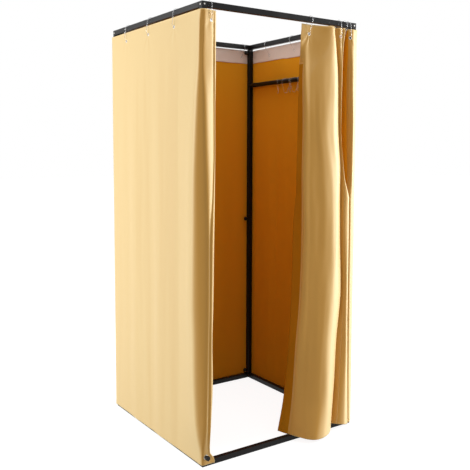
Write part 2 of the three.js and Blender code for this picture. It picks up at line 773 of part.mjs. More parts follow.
function addWallRings() {
  addPiece('ring_wrap', ringOnRail(sides.front, wrapRing, 0), clearPlastic());
  const end = doorRingPlace(endPleatShares);
  addPiece('ring_end', ringOnRail(sides.front, end.distance, end.out), clearPlastic());
  for (const [name, shares] of Object.entries(wallRingShares)) {
    shares.forEach((share, i) => {
      const ring = ringOnRail(sides[name], share * sides[name].run, 0);
      addPiece(`ring_${name}_${i + 1}`, ring, clearPlastic());
    });
  }
}

// Spare rings that hang on the garment bar, turned so that they clear the curtain beside it
const barRingShares = [
  { along: 0.679, turn: 0.23 },
  { along: 0.6, turn: -0.23 },
];

function barRing(place) {
  const turn = place.turn * Math.PI;
  const across = barRadius / Math.cos(turn);
  const sideways = ringWireRadius * Math.abs(Math.tan(turn));
  const inside = ringTopRadius - ringSeatGap;
  let drop = inside - barRadius;
  for (let i = 0; i <= barSides; i += 1) {
    const angle = (Math.PI / 2) * (i / barSides);
    const half = Math.min(inside, across * Math.cos(angle) + sideways);
    drop = Math.min(drop, Math.sqrt(inside ** 2 - half ** 2) - barRadius * Math.sin(angle));
  }
  const y = -halfDepth + place.along * frameDepth;
  return pearRing().rotateZ(turn).translate(postX, y, barHeight - drop);
}

function addBarRings() {
  barRingShares.forEach((place, i) => {
    addPiece(`bar_ring_${i + 1}`, barRing(place), clearPlastic());
  });
}

addCorners();
addPosts();
addKnobs();
addRails();
addPiece('garment_bar', garmentBar(), blackSteel());
addCurtains();
addWallRings();
addBarRings();

// The origin is the middle of the whole part's footprint, on the floor
const bounds = new THREE.Box3().setFromObject(room);
const footprint = bounds.getCenter(new THREE.Vector3());
room.position.set(-footprint.x, -footprint.y, -bounds.min.z);

export default room;
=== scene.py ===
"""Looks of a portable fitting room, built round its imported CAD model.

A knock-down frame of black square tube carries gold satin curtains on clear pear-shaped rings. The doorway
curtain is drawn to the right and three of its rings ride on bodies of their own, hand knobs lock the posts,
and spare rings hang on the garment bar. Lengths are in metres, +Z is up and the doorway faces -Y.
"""

import logging
import math
from dataclasses import dataclass, field
from enum import Enum
from typing import Iterable, Sequence

import bmesh
import bpy
import numpy as np
from mathutils import Matrix, Vector, noise


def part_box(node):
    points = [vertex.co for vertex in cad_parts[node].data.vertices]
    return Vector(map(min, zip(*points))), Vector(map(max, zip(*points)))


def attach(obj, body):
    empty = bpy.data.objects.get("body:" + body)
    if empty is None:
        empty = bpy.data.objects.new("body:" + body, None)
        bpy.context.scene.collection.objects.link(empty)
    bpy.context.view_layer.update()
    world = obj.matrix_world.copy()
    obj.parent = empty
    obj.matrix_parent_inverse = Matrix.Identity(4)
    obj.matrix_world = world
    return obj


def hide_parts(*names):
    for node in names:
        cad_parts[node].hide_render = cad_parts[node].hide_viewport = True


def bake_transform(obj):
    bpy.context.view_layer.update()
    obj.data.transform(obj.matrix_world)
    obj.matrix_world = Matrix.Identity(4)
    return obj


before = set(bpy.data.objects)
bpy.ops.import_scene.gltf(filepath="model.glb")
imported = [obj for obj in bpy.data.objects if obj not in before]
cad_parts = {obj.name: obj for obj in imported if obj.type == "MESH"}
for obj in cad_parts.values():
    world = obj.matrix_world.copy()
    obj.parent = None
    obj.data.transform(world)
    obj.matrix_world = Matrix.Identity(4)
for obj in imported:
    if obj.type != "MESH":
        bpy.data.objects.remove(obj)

log = logging.getLogger("fitting_room")

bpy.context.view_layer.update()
FRAME_BODY = "frame"
PHOTO_SIDE = 470
HOLE_SIDES = 24
HOLE_DEPTH = 0.012
SEAM_WIDTH = 0.003
SEAM_INSET = 0.004
SEAM_DEPTH = 0.0006
EDGE_RISE = 0.0007

Colour = tuple[float, float, float]


# Plan of the frame


@dataclass(frozen=True)
class Side:
    """One side of the frame: its start corner, the way it runs, the way out of it and its length."""

    start: tuple[float, float]
    along: tuple[float, float]
    out: tuple[float, float]
    run: float

    def heading(self) -> Vector:
        """The direction out of the side."""
        return Vector((self.out[0], self.out[1], 0.0))


class SideName(Enum):
    """The four sides of the frame."""

    FRONT = "front"
    RIGHT = "right"
    BACK = "back"
    LEFT = "left"


class Corner(Enum):
    """The four corners: name, place in X, place in Y and the side that the post's knobs point to."""

    FRONT_LEFT = ("front_left", -1, -1, SideName.BACK)
    FRONT_RIGHT = ("front_right", 1, -1, SideName.BACK)
    BACK_RIGHT = ("back_right", 1, 1, SideName.LEFT)
    BACK_LEFT = ("back_left", -1, 1, SideName.RIGHT)

    def __init__(self, label: str, x: int, y: int, knob_side: SideName) -> None:
        """Keeps the corner's name and place.

        Args:
            label: the corner's part of the CAD node names.
            x: -1 for left and 1 for right.
            y: -1 for front and 1 for back.
            knob_side: the side that the hand knobs point to.
        """
        self.label = label
        self.x = x
        self.y = y
        self.knob_side = knob_side


class Level(Enum):
    """The two ends of the frame."""

    BOTTOM = "bottom"
    TOP = "top"


@dataclass(frozen=True)
class RoomPlan:
    """Sizes and places that every sub-assembly shares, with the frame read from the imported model."""

    left: float
    right: float
    front: float
    back: float
    height: float
    tube: float
    tube_wall: float = 0.0012
    seat_gap: float = 0.0003
    cloth_offset: float = 0.004
    cloth_top_gap: float = 0.009
    wall_hem: float = 0.010
    corner_radius: float = 0.006

    @classmethod
    def from_cad(cls) -> "RoomPlan":
        """Reads the frame's outer faces from its corner connectors and its tube from a rail."""
        low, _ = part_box("corner_front_left_bottom")
        _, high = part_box("corner_back_right_top")
        rail_low, rail_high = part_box("rail_front_top")
        tube = rail_high.z - rail_low.z
        return cls(low.x, high.x, low.y, high.y, high.z, tube)

    @property
    def cloth_top(self) -> float:
        """Height of the curtains' top edge."""
        return self.height - self.tube - self.cloth_top_gap

    @property
    def cloth_reach(self) -> float:
        """How far the cloth hangs outside the middle line of a rail."""
        return self.tube / 2 + self.cloth_offset

    def side(self, name: SideName) -> Side:
        """One side of the frame.

        Args:
            name: which side.

        Returns:
            Its start corner, directions and length.
        """
        width = self.right - self.left
        depth = self.back - self.front
        sides = {
            SideName.FRONT: Side((self.left, self.front), (1, 0), (0, -1), width),
            SideName.RIGHT: Side((self.right, self.front), (0, 1), (1, 0), depth),
            SideName.BACK: Side((self.right, self.back), (-1, 0), (0, 1), width),
            SideName.LEFT: Side((self.left, self.front), (0, 1), (-1, 0), depth),
        }
        return sides[name]

    def point(self, name: SideName, distance: float, out: float, height: float) -> Vector:
        """A point at a distance along a side, out from the cloth's own plane, at a height.

        Args:
            name: which side.
            distance: how far from the side's start corner.
            out: how far outside the plane that the cloth hangs in.
            height: how far above the floor.

        Returns:
            The point in the row frame.
        """
        side = self.side(name)
        reach = self.cloth_offset + out
        x = side.start[0] + side.along[0] * distance + side.out[0] * reach
        y = side.start[1] + side.along[1] * distance + side.out[1] * reach
        return Vector((x, y, height))

    def post(self, corner: Corner) -> tuple[float, float]:
        """The middle of a post, in plan."""
        inset = self.tube / 2
        x = self.left + inset if corner.x < 0 else self.right - inset
        y = self.front + inset if corner.y < 0 else self.back - inset
        return x, y


# Meshes


def pointing(direction: Vector, at: Vector) -> Matrix:
    """A placement at a point whose own +Z points along a direction."""
    turn = direction.normalized().to_track_quat("Z", "Y")
    return Matrix.Translation(at) @ turn.to_matrix().to_4x4()


def circle(radius: float, sides: int, height: float = 0.0) -> np.ndarray:
    """Points of a circle about +Z at a height."""
    angle = np.linspace(0, 2 * math.pi, sides, endpoint=False)
    return np.stack([radius * np.cos(angle), radius * np.sin(angle), np.full(sides, height)], 1)


def rounded_square(side: float, radius: float, height: float, steps: int = 5) -> np.ndarray:
    """Points of a square with rounded corners about +Z.

    Args:
        side: the square's side.
        radius: the corners' radius.
        height: the points' height.
        steps: points on each corner.

    Returns:
        An array of points.
    """
    flat = side / 2 - radius
    points = []
    for quarter, (x, y) in enumerate(((1, 1), (-1, 1), (-1, -1), (1, -1))):
        for i in range(steps):
            angle = math.pi / 2 * (quarter + i / (steps - 1))
            points.append((x * flat + radius * math.cos(angle), y * flat + radius * math.sin(angle), height))
    return np.array(points)


def filleted(side: float, radius: float, fillet: float, low: float,
             high: float) -> list[tuple[float, float, float]]:
    """Side, corner radius and height of a square bar's outlines between two heights, its ends filleted."""
    return [(side - 2 * fillet, radius - fillet, low), (side, radius, low + fillet),
            (side, radius, high - fillet), (side - 2 * fillet, radius - fillet, high)]


class Draft:
    """Points and faces of one mesh while it is being made."""

    def __init__(self) -> None:
        """Starts with no points."""
        self.points: list[np.ndarray] = []
        self.places: list[np.ndarray] = []
        self.faces: list[tuple[int, ...]] = []
        self.finishes: list[int] = []
        self.count = 0

    def add_points(self, points: np.ndarray, places: np.ndarray | None = None) -> int:
        """Adds points.

        Args:
            points: an array of points.
            places: each point's place on the flat cloth, for a woven finish.

        Returns:
            The number of the first one.
        """
        first = self.count
        self.points.append(points)
        self.places.append(np.zeros((len(points), 2)) if places is None else places)
        self.count += len(points)
        return first

    def add_face(self, corners: Sequence[int], finish: int = 0) -> None:
        """Adds one face with the number of its finish."""
        self.faces.append(tuple(corners))
        self.finishes.append(finish)

    def add_loft(self, rings: Sequence[np.ndarray], closed: bool = False, finish: int = 0) -> None:
        """Skins a row of closed outlines, with a flat cap at each end unless the row closes on itself.

        Args:
            rings: outlines with the same number of points.
            closed: whether the last outline joins the first.
            finish: the number of the finish.
        """
        sides = len(rings[0])
        first = self.add_points(np.concatenate(rings))
        count = len(rings)
        for ring in range(count if closed else count - 1):
            low = first + ring * sides
            high = first + (ring + 1) % count * sides
            for i in range(sides):
                j = (i + 1) % sides
                self.add_face((low + i, low + j, high + j, high + i), finish)
        if not closed:
            last = first + (count - 1) * sides
            self.add_face(range(first + sides - 1, first - 1, -1), finish)
            self.add_face(range(last, last + sides), finish)

    def add_block(self, low: Vector, high: Vector) -> None:
        """Adds a plain block between two corners, for parts that hide inside a tube."""
        corners = [(x, y, z) for z in (low.z, high.z) for x, y in
                   ((low.x, low.y), (high.x, low.y), (high.x, high.y), (low.x, high.y))]
        points = np.array(corners)
        self.add_loft([points[:4], points[4:]])

    def place(self, matrix: Matrix) -> "Draft":
        """Moves all the points and gives back this draft."""
        array = np.array(matrix)
        self.points = [points @ array[:3, :3].T + array[:3, 3] for points in self.points]
        return self

    def merge(self, other: "Draft") -> None:
        """Takes over the points and faces of another draft."""
        first = self.add_points(np.concatenate(other.points))
        for face, finish in zip(other.faces, other.finishes):
            self.add_face([first + i for i in face], finish)

    def build(self, name: str, finishes: Sequence[bpy.types.Material],
              even: bool = False) -> bpy.types.Object:
        """Makes the object.

        Args:
            name: the piece's name.
            finishes: its materials, in the order of the faces' numbers.
            even: whether wide flat faces keep even shading next to narrow rounded ones.

        Returns:
            The new object.
        """
        mesh = bpy.data.meshes.new(name)
        points = np.concatenate(self.points)
        mesh.from_pydata(points.tolist(), [], self.faces)
        mesh.polygons.foreach_set("material_index", self.finishes)
        layer = mesh.uv_layers.new(name="cloth_place")
        loops = np.zeros(len(mesh.loops), np.int32)
        mesh.loops.foreach_get("vertex_index", loops)
        layer.data.foreach_set("uv", np.concatenate(self.places)[loops].ravel())
        work = bmesh.new()
        work.from_mesh(mesh)
        bmesh.ops.recalc_face_normals(work, faces=work.faces)
        work.to_mesh(mesh)
        work.free()
        mesh.shade_smooth()
        for finish in finishes:
            mesh.materials.append(finish)
        piece = bpy.data.objects.new(name, mesh)
        bpy.context.scene.collection.objects.link(piece)
        if even:
            piece.modifiers.new("even_shading", "WEIGHTED_NORMAL").keep_sharp = True
        return piece


def apply_modifiers(piece: bpy.types.Object) -> bpy.types.Object:
    """Turns a piece's modifiers into its mesh and gives the piece back."""
    bpy.context.view_layer.update()
    evaluated = piece.evaluated_get(bpy.context.evaluated_depsgraph_get())
    mesh = bpy.data.meshes.new_from_object(evaluated)
    piece.modifiers.clear()
    piece.data = mesh
    return piece


def declare(piece: bpy.types.Object, body: str, slot: str, *nodes: str) -> None:
    """Puts a piece on the body that it rides on and hides the CAD nodes that it stands for."""
    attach(piece, body)
    if nodes:
        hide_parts(*nodes)


# Finishes


class NodeBook:
    """Makes nodes in one tree and links them."""

    def __init__(self, tree: bpy.types.NodeTree) -> None:
        """Keeps the tree."""
        self.tree = tree

    def add(self, kind: str, inputs: dict[str | int, object] | None = None,
            **settings: object) -> bpy.types.Node:
        """Adds a node.

        Args:
            kind: the node's Blender type.
            inputs: values or sockets for its inputs.
            settings: its other settings.

        Returns:
            The node.
        """
        node = self.tree.nodes.new(kind)
        for key, value in settings.items():
            setattr(node, key, value)
        self.fill(node, inputs or {})
        return node

    def fill(self, node: bpy.types.Node, inputs: dict[str | int, object]) -> None:
        """Gives a node's inputs their values or sockets."""
        for key, value in inputs.items():
            if isinstance(value, bpy.types.NodeSocket):
                self.tree.links.new(value, node.inputs[key])
            else:
                node.inputs[key].default_value = value

    def maths(self, operation: str, *values: object) -> bpy.types.NodeSocket:
        """A sum, product or other operation on numbers and sockets."""
        return self.add("ShaderNodeMath", dict(enumerate(values)), operation=operation).outputs[0]

    def ranged(self, value: object, low: float, high: float, *, start: float = 0.0,
               end: float = 1.0) -> bpy.types.NodeSocket:
        """A value's place between two others, brought to the range from start to end."""
        limits = {"From Min": low, "From Max": high, "To Min": start, "To Max": end}
        return self.add("ShaderNodeMapRange", {"Value": value, **limits}).outputs[0]

    def mix(self, share: object, first: object, second: object) -> bpy.types.NodeSocket:
        """A colour between two others."""
        node = self.add("ShaderNodeMix", {0: share, 6: first, 7: second}, data_type="RGBA")
        return node.outputs[2]


def opaque(colour: Colour) -> tuple[float, float, float, float]:
    """A colour with full alpha."""
    return (*colour, 1.0)


class ShaderGroup:
    """A group of shader nodes, made once and placed in many materials."""

    name: str
    takes: tuple[str, ...]

    def sockets(self, book: NodeBook, given: bpy.types.NodeOutputs) -> dict[str, bpy.types.NodeSocket]:
        """What the group puts out, made from what it takes."""
        raise NotImplementedError

    def group(self) -> bpy.types.NodeTree:
        """The node group, made the first time that it is asked for."""
        known = bpy.data.node_groups.get(self.name)
        if known:
            return known
        tree = bpy.data.node_groups.new(self.name, "ShaderNodeTree")
        for label in self.takes:
            tree.interface.new_socket(label, in_out="INPUT", socket_type="NodeSocketFloat")
        book = NodeBook(tree)
        results = self.sockets(book, book.add("NodeGroupInput").outputs)
        for label in results:
            tree.interface.new_socket(label, in_out="OUTPUT", socket_type="NodeSocketFloat")
        book.add("NodeGroupOutput", results).is_active_output = True
        return tree

    def placed(self, book: NodeBook, *values: float) -> bpy.types.Node:
        """The group in a material, with a value for each thing that it takes."""
        return book.add("ShaderNodeGroup", dict(zip(self.takes, values)), node_tree=self.group())


class WeaveEffect(ShaderGroup):
    """Woven satin: fine twill ribs, slubs and soft changes of tone over the cloth."""

    name = "weave"
    takes = ("Threads", "Cloud Scale")
    threads_per_metre = 1400.0
    twill_lean = 0.25
    twill_height = 0.5
    pick_height = 0.25
    slub_scale = (30.0, 900.0, 1.0)
    cloud_shape = (1.0, 0.35, 1.0)

    def sockets(self, book: NodeBook, given: bpy.types.NodeOutputs) -> dict[str, bpy.types.NodeSocket]:
        """A thread height, a tone mask and a gloss mask."""
        flat = book.add("ShaderNodeUVMap", uv_map="cloth_place").outputs["UV"]
        parts = book.add("ShaderNodeSeparateXYZ", {0: flat}).outputs
        across = book.maths("MULTIPLY", parts["X"], given["Threads"])
        down = book.maths("MULTIPLY", parts["Y"], given["Threads"])
        slant = book.maths("ADD", across, book.maths("MULTIPLY", down, self.twill_lean))
        twill = book.maths("SINE", book.maths("MULTIPLY", slant, 2 * math.pi))
        picks = book.maths("SINE", book.maths("MULTIPLY", down, 2 * math.pi))
        slub_place = book.add("ShaderNodeMapping", {"Vector": flat, "Scale": self.slub_scale}).outputs[0]
        slubs = book.add("ShaderNodeTexNoise", {"Vector": slub_place, "Scale": 1.0, "Detail": 3.0})
        cloud_place = book.add("ShaderNodeMapping", {"Vector": flat, "Scale": self.cloud_shape}).outputs[0]
        clouds = book.add("ShaderNodeTexNoise", {"Vector": cloud_place, "Scale": given["Cloud Scale"],
                                                 "Detail": 4.0})
        ribs = book.maths("ADD", book.maths("MULTIPLY", twill, self.twill_height),
                          book.maths("MULTIPLY", picks, self.pick_height))
        height = book.maths("ADD", ribs, slubs.outputs["Fac"])
        return {"Height": height, "Tone": clouds.outputs["Fac"], "Gloss": slubs.outputs["Fac"]}


class WearEffect(ShaderGroup):
    """Wear of hard parts: a fine grain, dust in soft clouds and rubbed edges."""

    name = "wear"
    takes = ("Grain Scale", "Dust Scale")
    dust_range = (0.45, 0.8)
    edge_range = (0.52, 0.62)

    def sockets(self, book: NodeBook, given: bpy.types.NodeOutputs) -> dict[str, bpy.types.NodeSocket]:
        """A grain height, a dust mask and an edge mask."""
        place = book.add("ShaderNodeTexCoord").outputs["Object"]
        grain = book.add("ShaderNodeTexNoise", {"Vector": place, "Scale": given["Grain Scale"],
                                                "Detail": 2.0})
        dust = book.add("ShaderNodeTexNoise", {"Vector": place, "Scale": given["Dust Scale"], "Detail": 5.0})
        bent = book.add("ShaderNodeNewGeometry").outputs["Pointiness"]
        return {"Height": grain.outputs["Fac"], "Dust": book.ranged(dust.outputs["Fac"], *self.dust_range),
                "Edge": book.ranged(bent, *self.edge_range)}


def fresh_nodes(owner: bpy.types.Material | bpy.types.World) -> NodeBook:
    """The emptied node tree of a material or a world."""
    owner.use_nodes = True
    owner.node_tree.nodes.clear()
    return NodeBook(owner.node_tree)


def new_material(name: str) -> tuple[bpy.types.Material, NodeBook, bpy.types.Node]:
    """A new material, its nodes and its one Principled shader."""
    material = bpy.data.materials.new(name)
    book = fresh_nodes(material)
    shader = book.add("ShaderNodeBsdfPrincipled")
    book.add("ShaderNodeOutputMaterial", {"Surface": shader.outputs[0]})
    return material, book, shader


@dataclass(frozen=True)
class ClothFinish:
    """Woven cloth: its colour, its deeper tone in clouds, a painted sheen that pales it where seen aslant,
    its gloss and sheen.

    A satin's long floats spread its highlight up and down, which the uneven gloss stands for.
    """

    name: str
    colour: Colour
    deep_colour: Colour
    roughness: float
    sheen: float
    specular: float = 0.5
    specular_tint: Colour = (1.0, 1.0, 1.0)
    painted_sheen_colour: Colour | None = None
    painted_sheen_range: tuple[float, float] = (0.12, 0.55)
    uneven_gloss: float = 0.0
    gloss_up: float = 0.05
    gloss_down: float = 0.07
    bump_metres: float = 0.00006
    cloud_scale: float = 2.2

    def material(self) -> bpy.types.Material:
        """The material, with threads, slubs and clouds from the weave group."""
        material, book, shader = new_material(self.name)
        weave = WeaveEffect().placed(book, WeaveEffect.threads_per_metre, self.cloud_scale).outputs
        tone = book.mix(weave["Tone"], opaque(self.deep_colour), opaque(self.colour))
        # Painted sheen: a paler colour mixed in by how aslant the cloth is seen stands in for the whitish
        # reflection of the lamps on satin.
        if self.painted_sheen_colour:
            facing = book.add("ShaderNodeLayerWeight", {"Blend": 0.5}).outputs["Facing"]
            aslant = book.ranged(facing, *self.painted_sheen_range)
            tone = book.mix(aslant, tone, opaque(self.painted_sheen_colour))
        bump = book.add("ShaderNodeBump", {"Height": weave["Height"], "Strength": 0.25,
                                           "Distance": self.bump_metres})
        book.fill(shader, {
            "Base Color": tone,
            "Roughness": book.ranged(weave["Gloss"], 0.0, 1.0, start=self.roughness - self.gloss_up,
                                     end=self.roughness + self.gloss_down),
            "Normal": bump.outputs[0],
            "Specular IOR Level": self.specular,
            "Specular Tint": opaque(self.specular_tint),
            "Anisotropic": self.uneven_gloss,
            "Anisotropic Rotation": 0.25,
            "Sheen Weight": self.sheen,
            "Sheen Roughness": 0.35,
            "Sheen Tint": (1.0, 0.93, 0.8, 1.0),
        })
        return material


@dataclass(frozen=True)
class HardFinish:
    """Painted steel, moulded plastic or bare metal with grain, dust and rubbed edges."""

    name: str
    colour: Colour
    dust_colour: Colour
    edge_colour: Colour
    roughness: float
    metallic: float = 0.0
    specular: float = 0.5
    dust_share: float = 0.12
    edge_share: float = 0.35
    grain_scale: float = 1800.0
    grain_metres: float = 0.00008
    dust_scale: float = 9.0
    dust_roughness: float = 0.15

    def material(self) -> bpy.types.Material:
        """The material, with grain, dust and edges from the wear group."""
        material, book, shader = new_material(self.name)
        wear = WearEffect().placed(book, self.grain_scale, self.dust_scale).outputs
        dusty = book.mix(book.maths("MULTIPLY", wear["Dust"], self.dust_share), opaque(self.colour),
                         opaque(self.dust_colour))
        rubbed = book.mix(book.maths("MULTIPLY", wear["Edge"], self.edge_share), dusty,
                          opaque(self.edge_colour))
        dulled = book.maths("MULTIPLY", wear["Dust"], self.dust_roughness)
        rough = book.maths("ADD", dulled, self.roughness)
        bump = book.add("ShaderNodeBump", {"Height": wear["Height"], "Strength": 0.2,
                                           "Distance": self.grain_metres})
        book.fill(shader, {"Base Color": rubbed, "Roughness": rough, "Normal": bump.outputs[0],
                           "Metallic": self.metallic, "Specular IOR Level": self.specular})
        return material


@dataclass(frozen=True)
class ClearFinish:
    """Clear moulded plastic with faint flow marks."""

    name: str
    colour: Colour
    roughness: float
    grain_scale: float = 400.0
    flow_scale: float = 30.0
    flow_roughness: float = 0.1
    clearness: float = 0.9
    refraction: float = 1.49

    def material(self) -> bpy.types.Material:
        """The material, with flow marks in its roughness."""
        material, book, shader = new_material(self.name)
        wear = WearEffect().placed(book, self.grain_scale, self.flow_scale).outputs
        flow = book.maths("MULTIPLY", wear["Dust"], self.flow_roughness)
        rough = book.maths("ADD", flow, self.roughness)
        book.fill(shader, {"Roughness": rough, "Base Color": opaque(self.colour),
                           "Transmission Weight": self.clearness, "IOR": self.refraction})
        return material


class FinishShelf:
    """Every finish of the room, each made once."""

    def __init__(self) -> None:
        """Makes the materials."""
        self.steel = HardFinish("black_steel_coat", (0.004, 0.0036, 0.0036), (0.02, 0.018, 0.016),
                                (0.02, 0.02, 0.02), 0.34, specular=0.17, grain_scale=2500.0).material()
        self.plastic = HardFinish("black_moulded_plastic", (0.003, 0.003, 0.003), (0.015, 0.014, 0.013),
                                  (0.012, 0.012, 0.012), 0.45, specular=0.25, grain_scale=1400.0).material()
        # The satin's paler colour where it is seen aslant is a painted sheen.
        self.satin = ClothFinish("gold_satin_face", (0.68, 0.345, 0.070), (0.64, 0.32, 0.062), 0.46, 0.15,
                                 specular=0.5, specular_tint=(1.0, 0.97, 0.66),
                                 painted_sheen_colour=(0.92, 0.67, 0.31), uneven_gloss=0.75).material()
        # The reverse's matte finish is real, but its deep saturated orange is painted light: it stands in for
        # lamp light shining through the cloth and bouncing inside the room.
        self.satin_back = ClothFinish("gold_satin_back", (0.88, 0.39, 0.022), (0.82, 0.35, 0.017), 0.7, 0.0,
                                      specular=0.0).material()
        # A darker copy of the satin: painted shade for the strip along the doorway curtain's free edge.
        self.satin_painted_edge_shade = ClothFinish("gold_satin_painted_edge_shade", (0.56, 0.235, 0.013), (0.50, 0.20, 0.010),
                                      0.7, 0.0, specular=0.0).material()
        self.lining = ClothFinish("pale_header_lining", (0.95, 0.82, 0.74), (0.90, 0.76, 0.67), 0.7, 0.1,
                                  cloud_scale=9.0).material()
        self.clear = ClearFinish("clear_ring_plastic", (0.90, 0.91, 0.92), 0.06).material()
        self.metal = HardFinish("bright_nickel", (0.60, 0.58, 0.54), (0.4, 0.38, 0.35),
                                (0.7, 0.68, 0.65), 0.35, metallic=1.0).material()


# Frame


@dataclass
class FrameTubes:
    """Posts in two halves and eight rails of square steel tube with drawn, rounded corners."""

    plan: RoomPlan
    corner_radius: float = 0.0022
    end_fillet: float = 0.0004
    joiner_length: float = 0.12
    joiner_side: float = 0.022

    def tube(self, draft: Draft, side: float, length: float, matrix: Matrix) -> None:
        """Adds a hollow square tube.

        Args:
            draft: where it goes.
            side: its outside width.
            length: how long it is.
            matrix: the placement of its lower end.
        """
        wall = self.plan.tube_wall
        fillet = self.end_fillet
        hollow = side - 2 * wall
        inner_radius = max(self.corner_radius - wall, fillet)
        outlines = [(hollow, inner_radius, 0.0), *filleted(side, self.corner_radius, fillet, 0.0, length),
                    (hollow, inner_radius, length)]
        part = Draft()
        part.add_loft([rounded_square(*outline) for outline in outlines], closed=True)
        draft.merge(part.place(matrix))

    def build(self, shelf: FinishShelf) -> None:
        """Makes the posts and the rails in place of their solids.

        Args:
            shelf: the finishes.
        """
        for corner in Corner:
            x, y = self.plan.post(corner)
            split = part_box(f"post_{corner.label}_lower")[1].z
            spans = {
                "lower": (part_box(f"post_{corner.label}_lower")[0].z, split),
                "upper": (split + self.plan.seat_gap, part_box(f"post_{corner.label}_upper")[1].z),
            }
            for half, (low, high) in spans.items():
                draft = Draft()
                self.tube(draft, self.plan.tube, high - low, Matrix.Translation((x, y, low)))
                if half == "upper":
                    start = split - self.joiner_length / 2
                    self.tube(draft, self.joiner_side, self.joiner_length, Matrix.Translation((x, y, start)))
                self.dress(draft, f"post_{corner.label}_{half}", shelf)
        for level in Level:
            for name in SideName:
                node = f"rail_{name.value}_{level.value}"
                low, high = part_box(node)
                middle = (low + high) / 2
                direction = Vector((1, 0, 0)) if high.x - low.x > high.y - low.y else Vector((0, 1, 0))
                length = (high - low).dot(direction)
                draft = Draft()
                start = middle - direction * length / 2
                self.tube(draft, self.plan.tube, length, pointing(direction, start))
                self.dress(draft, node, shelf)

    def dress(self, draft: Draft, node: str, shelf: FinishShelf) -> None:
        """Turns a draft into the steel piece that stands for a node."""
        piece = draft.build(f"steel_{node}", [shelf.steel], even=True)
        declare(piece, FRAME_BODY, "black_steel", node)
        log.info("tube %s", node)


@dataclass
class CornerConnectors:
    """Moulded cubes with a spigot into each tube and a bright screw on each outer side."""

    plan: RoomPlan
    edge_radius: float = 0.0014
    spigot_length: float = 0.035
    spigot_side: float = 0.022
    screw_radius: float = 0.0036
    screw_height: float = 0.0014
    screw_sides: int = 24

    def cube(self, draft: Draft, middle: Vector) -> None:
        """Adds the cube with its rounded edges.

        Args:
            draft: where it goes.
            middle: the cube's middle.
        """
        work = bmesh.new()
        bmesh.ops.create_cube(work, size=self.plan.tube)
        bmesh.ops.bevel(work, geom=work.edges[:], offset=self.edge_radius, segments=3, profile=0.5,
                        affect="EDGES")
        work.verts.index_update()
        points = np.array([vertex.co + middle for vertex in work.verts])
        first = draft.add_points(points)
        for face in work.faces:
            draft.add_face([first + vertex.index for vertex in face.verts])
        work.free()

    def spigots(self, draft: Draft, corner: Corner, level: Level, middle: Vector) -> None:
        """Adds the three spigots that hide inside the tubes.

        Args:
            draft: where they go.
            corner: which corner.
            level: top or bottom.
            middle: the cube's middle.
        """
        up = 1 if level is Level.BOTTOM else -1
        half = self.spigot_side / 2
        start = self.plan.tube / 2 - self.edge_radius
        end = self.plan.tube / 2 + self.spigot_length
        for axis, way in ((0, -corner.x), (1, -corner.y), (2, up)):
            low = Vector((-half, -half, -half))
            high = Vector((half, half, half))
            low[axis], high[axis] = sorted((way * start, way * end))
            draft.add_block(middle + low, middle + high)

    def screw(self, draft: Draft, face: Vector, direction: Vector) -> None:
        """Adds a domed screw head with a hexagonal recess.

        Args:
            draft: where it goes.
            face: the middle of the head's seat.
            direction: where the head points.
        """
        radius, height = self.screw_radius, self.screw_height
        profile = [(radius, 0.0), (radius, 0.35 * height), (0.9 * radius, 0.7 * height),
                   (0.65 * radius, 0.95 * height), (0.45 * radius, height)]
        rings = [circle(size, self.screw_sides, level) for size, level in profile]
        hexagon = circle(0.42 * radius, 6)
        recess = np.array([hexagon[i // 4] * (1 - i % 4 / 4) + hexagon[(i // 4 + 1) % 6] * (i % 4 / 4)
                           for i in range(self.screw_sides)])
        rings.append(recess + np.array((0, 0, height)))
        rings.append(recess + np.array((0, 0, 0.4 * height)))
        part = Draft()
        part.add_loft(rings)
        draft.merge(part.place(pointing(direction, face)))

    def build(self, shelf: FinishShelf) -> None:
        """Makes the eight connectors and their screws.

        Args:
            shelf: the finishes.
        """
        for level in Level:
            z = self.plan.tube / 2 if level is Level.BOTTOM else self.plan.height - self.plan.tube / 2
            for corner in Corner:
                x, y = self.plan.post(corner)
                middle = Vector((x, y, z))
                draft = Draft()
                self.cube(draft, middle)
                self.spigots(draft, corner, level, middle)
                node = f"corner_{corner.label}_{level.value}"
                piece = draft.build(f"moulded_{node}", [shelf.plastic], even=True)
                declare(piece, FRAME_BODY, "black_plastic", node)
                screws = Draft()
                for direction in (Vector((corner.x, 0, 0)), Vector((0, corner.y, 0))):
                    self.screw(screws, middle + direction * self.plan.tube / 2, direction)
                heads = screws.build(f"screws_{corner.label}_{level.value}", [shelf.metal], even=True)
                declare(heads, FRAME_BODY, "bright_metal")
                log.info("connector %s with its screws", node)


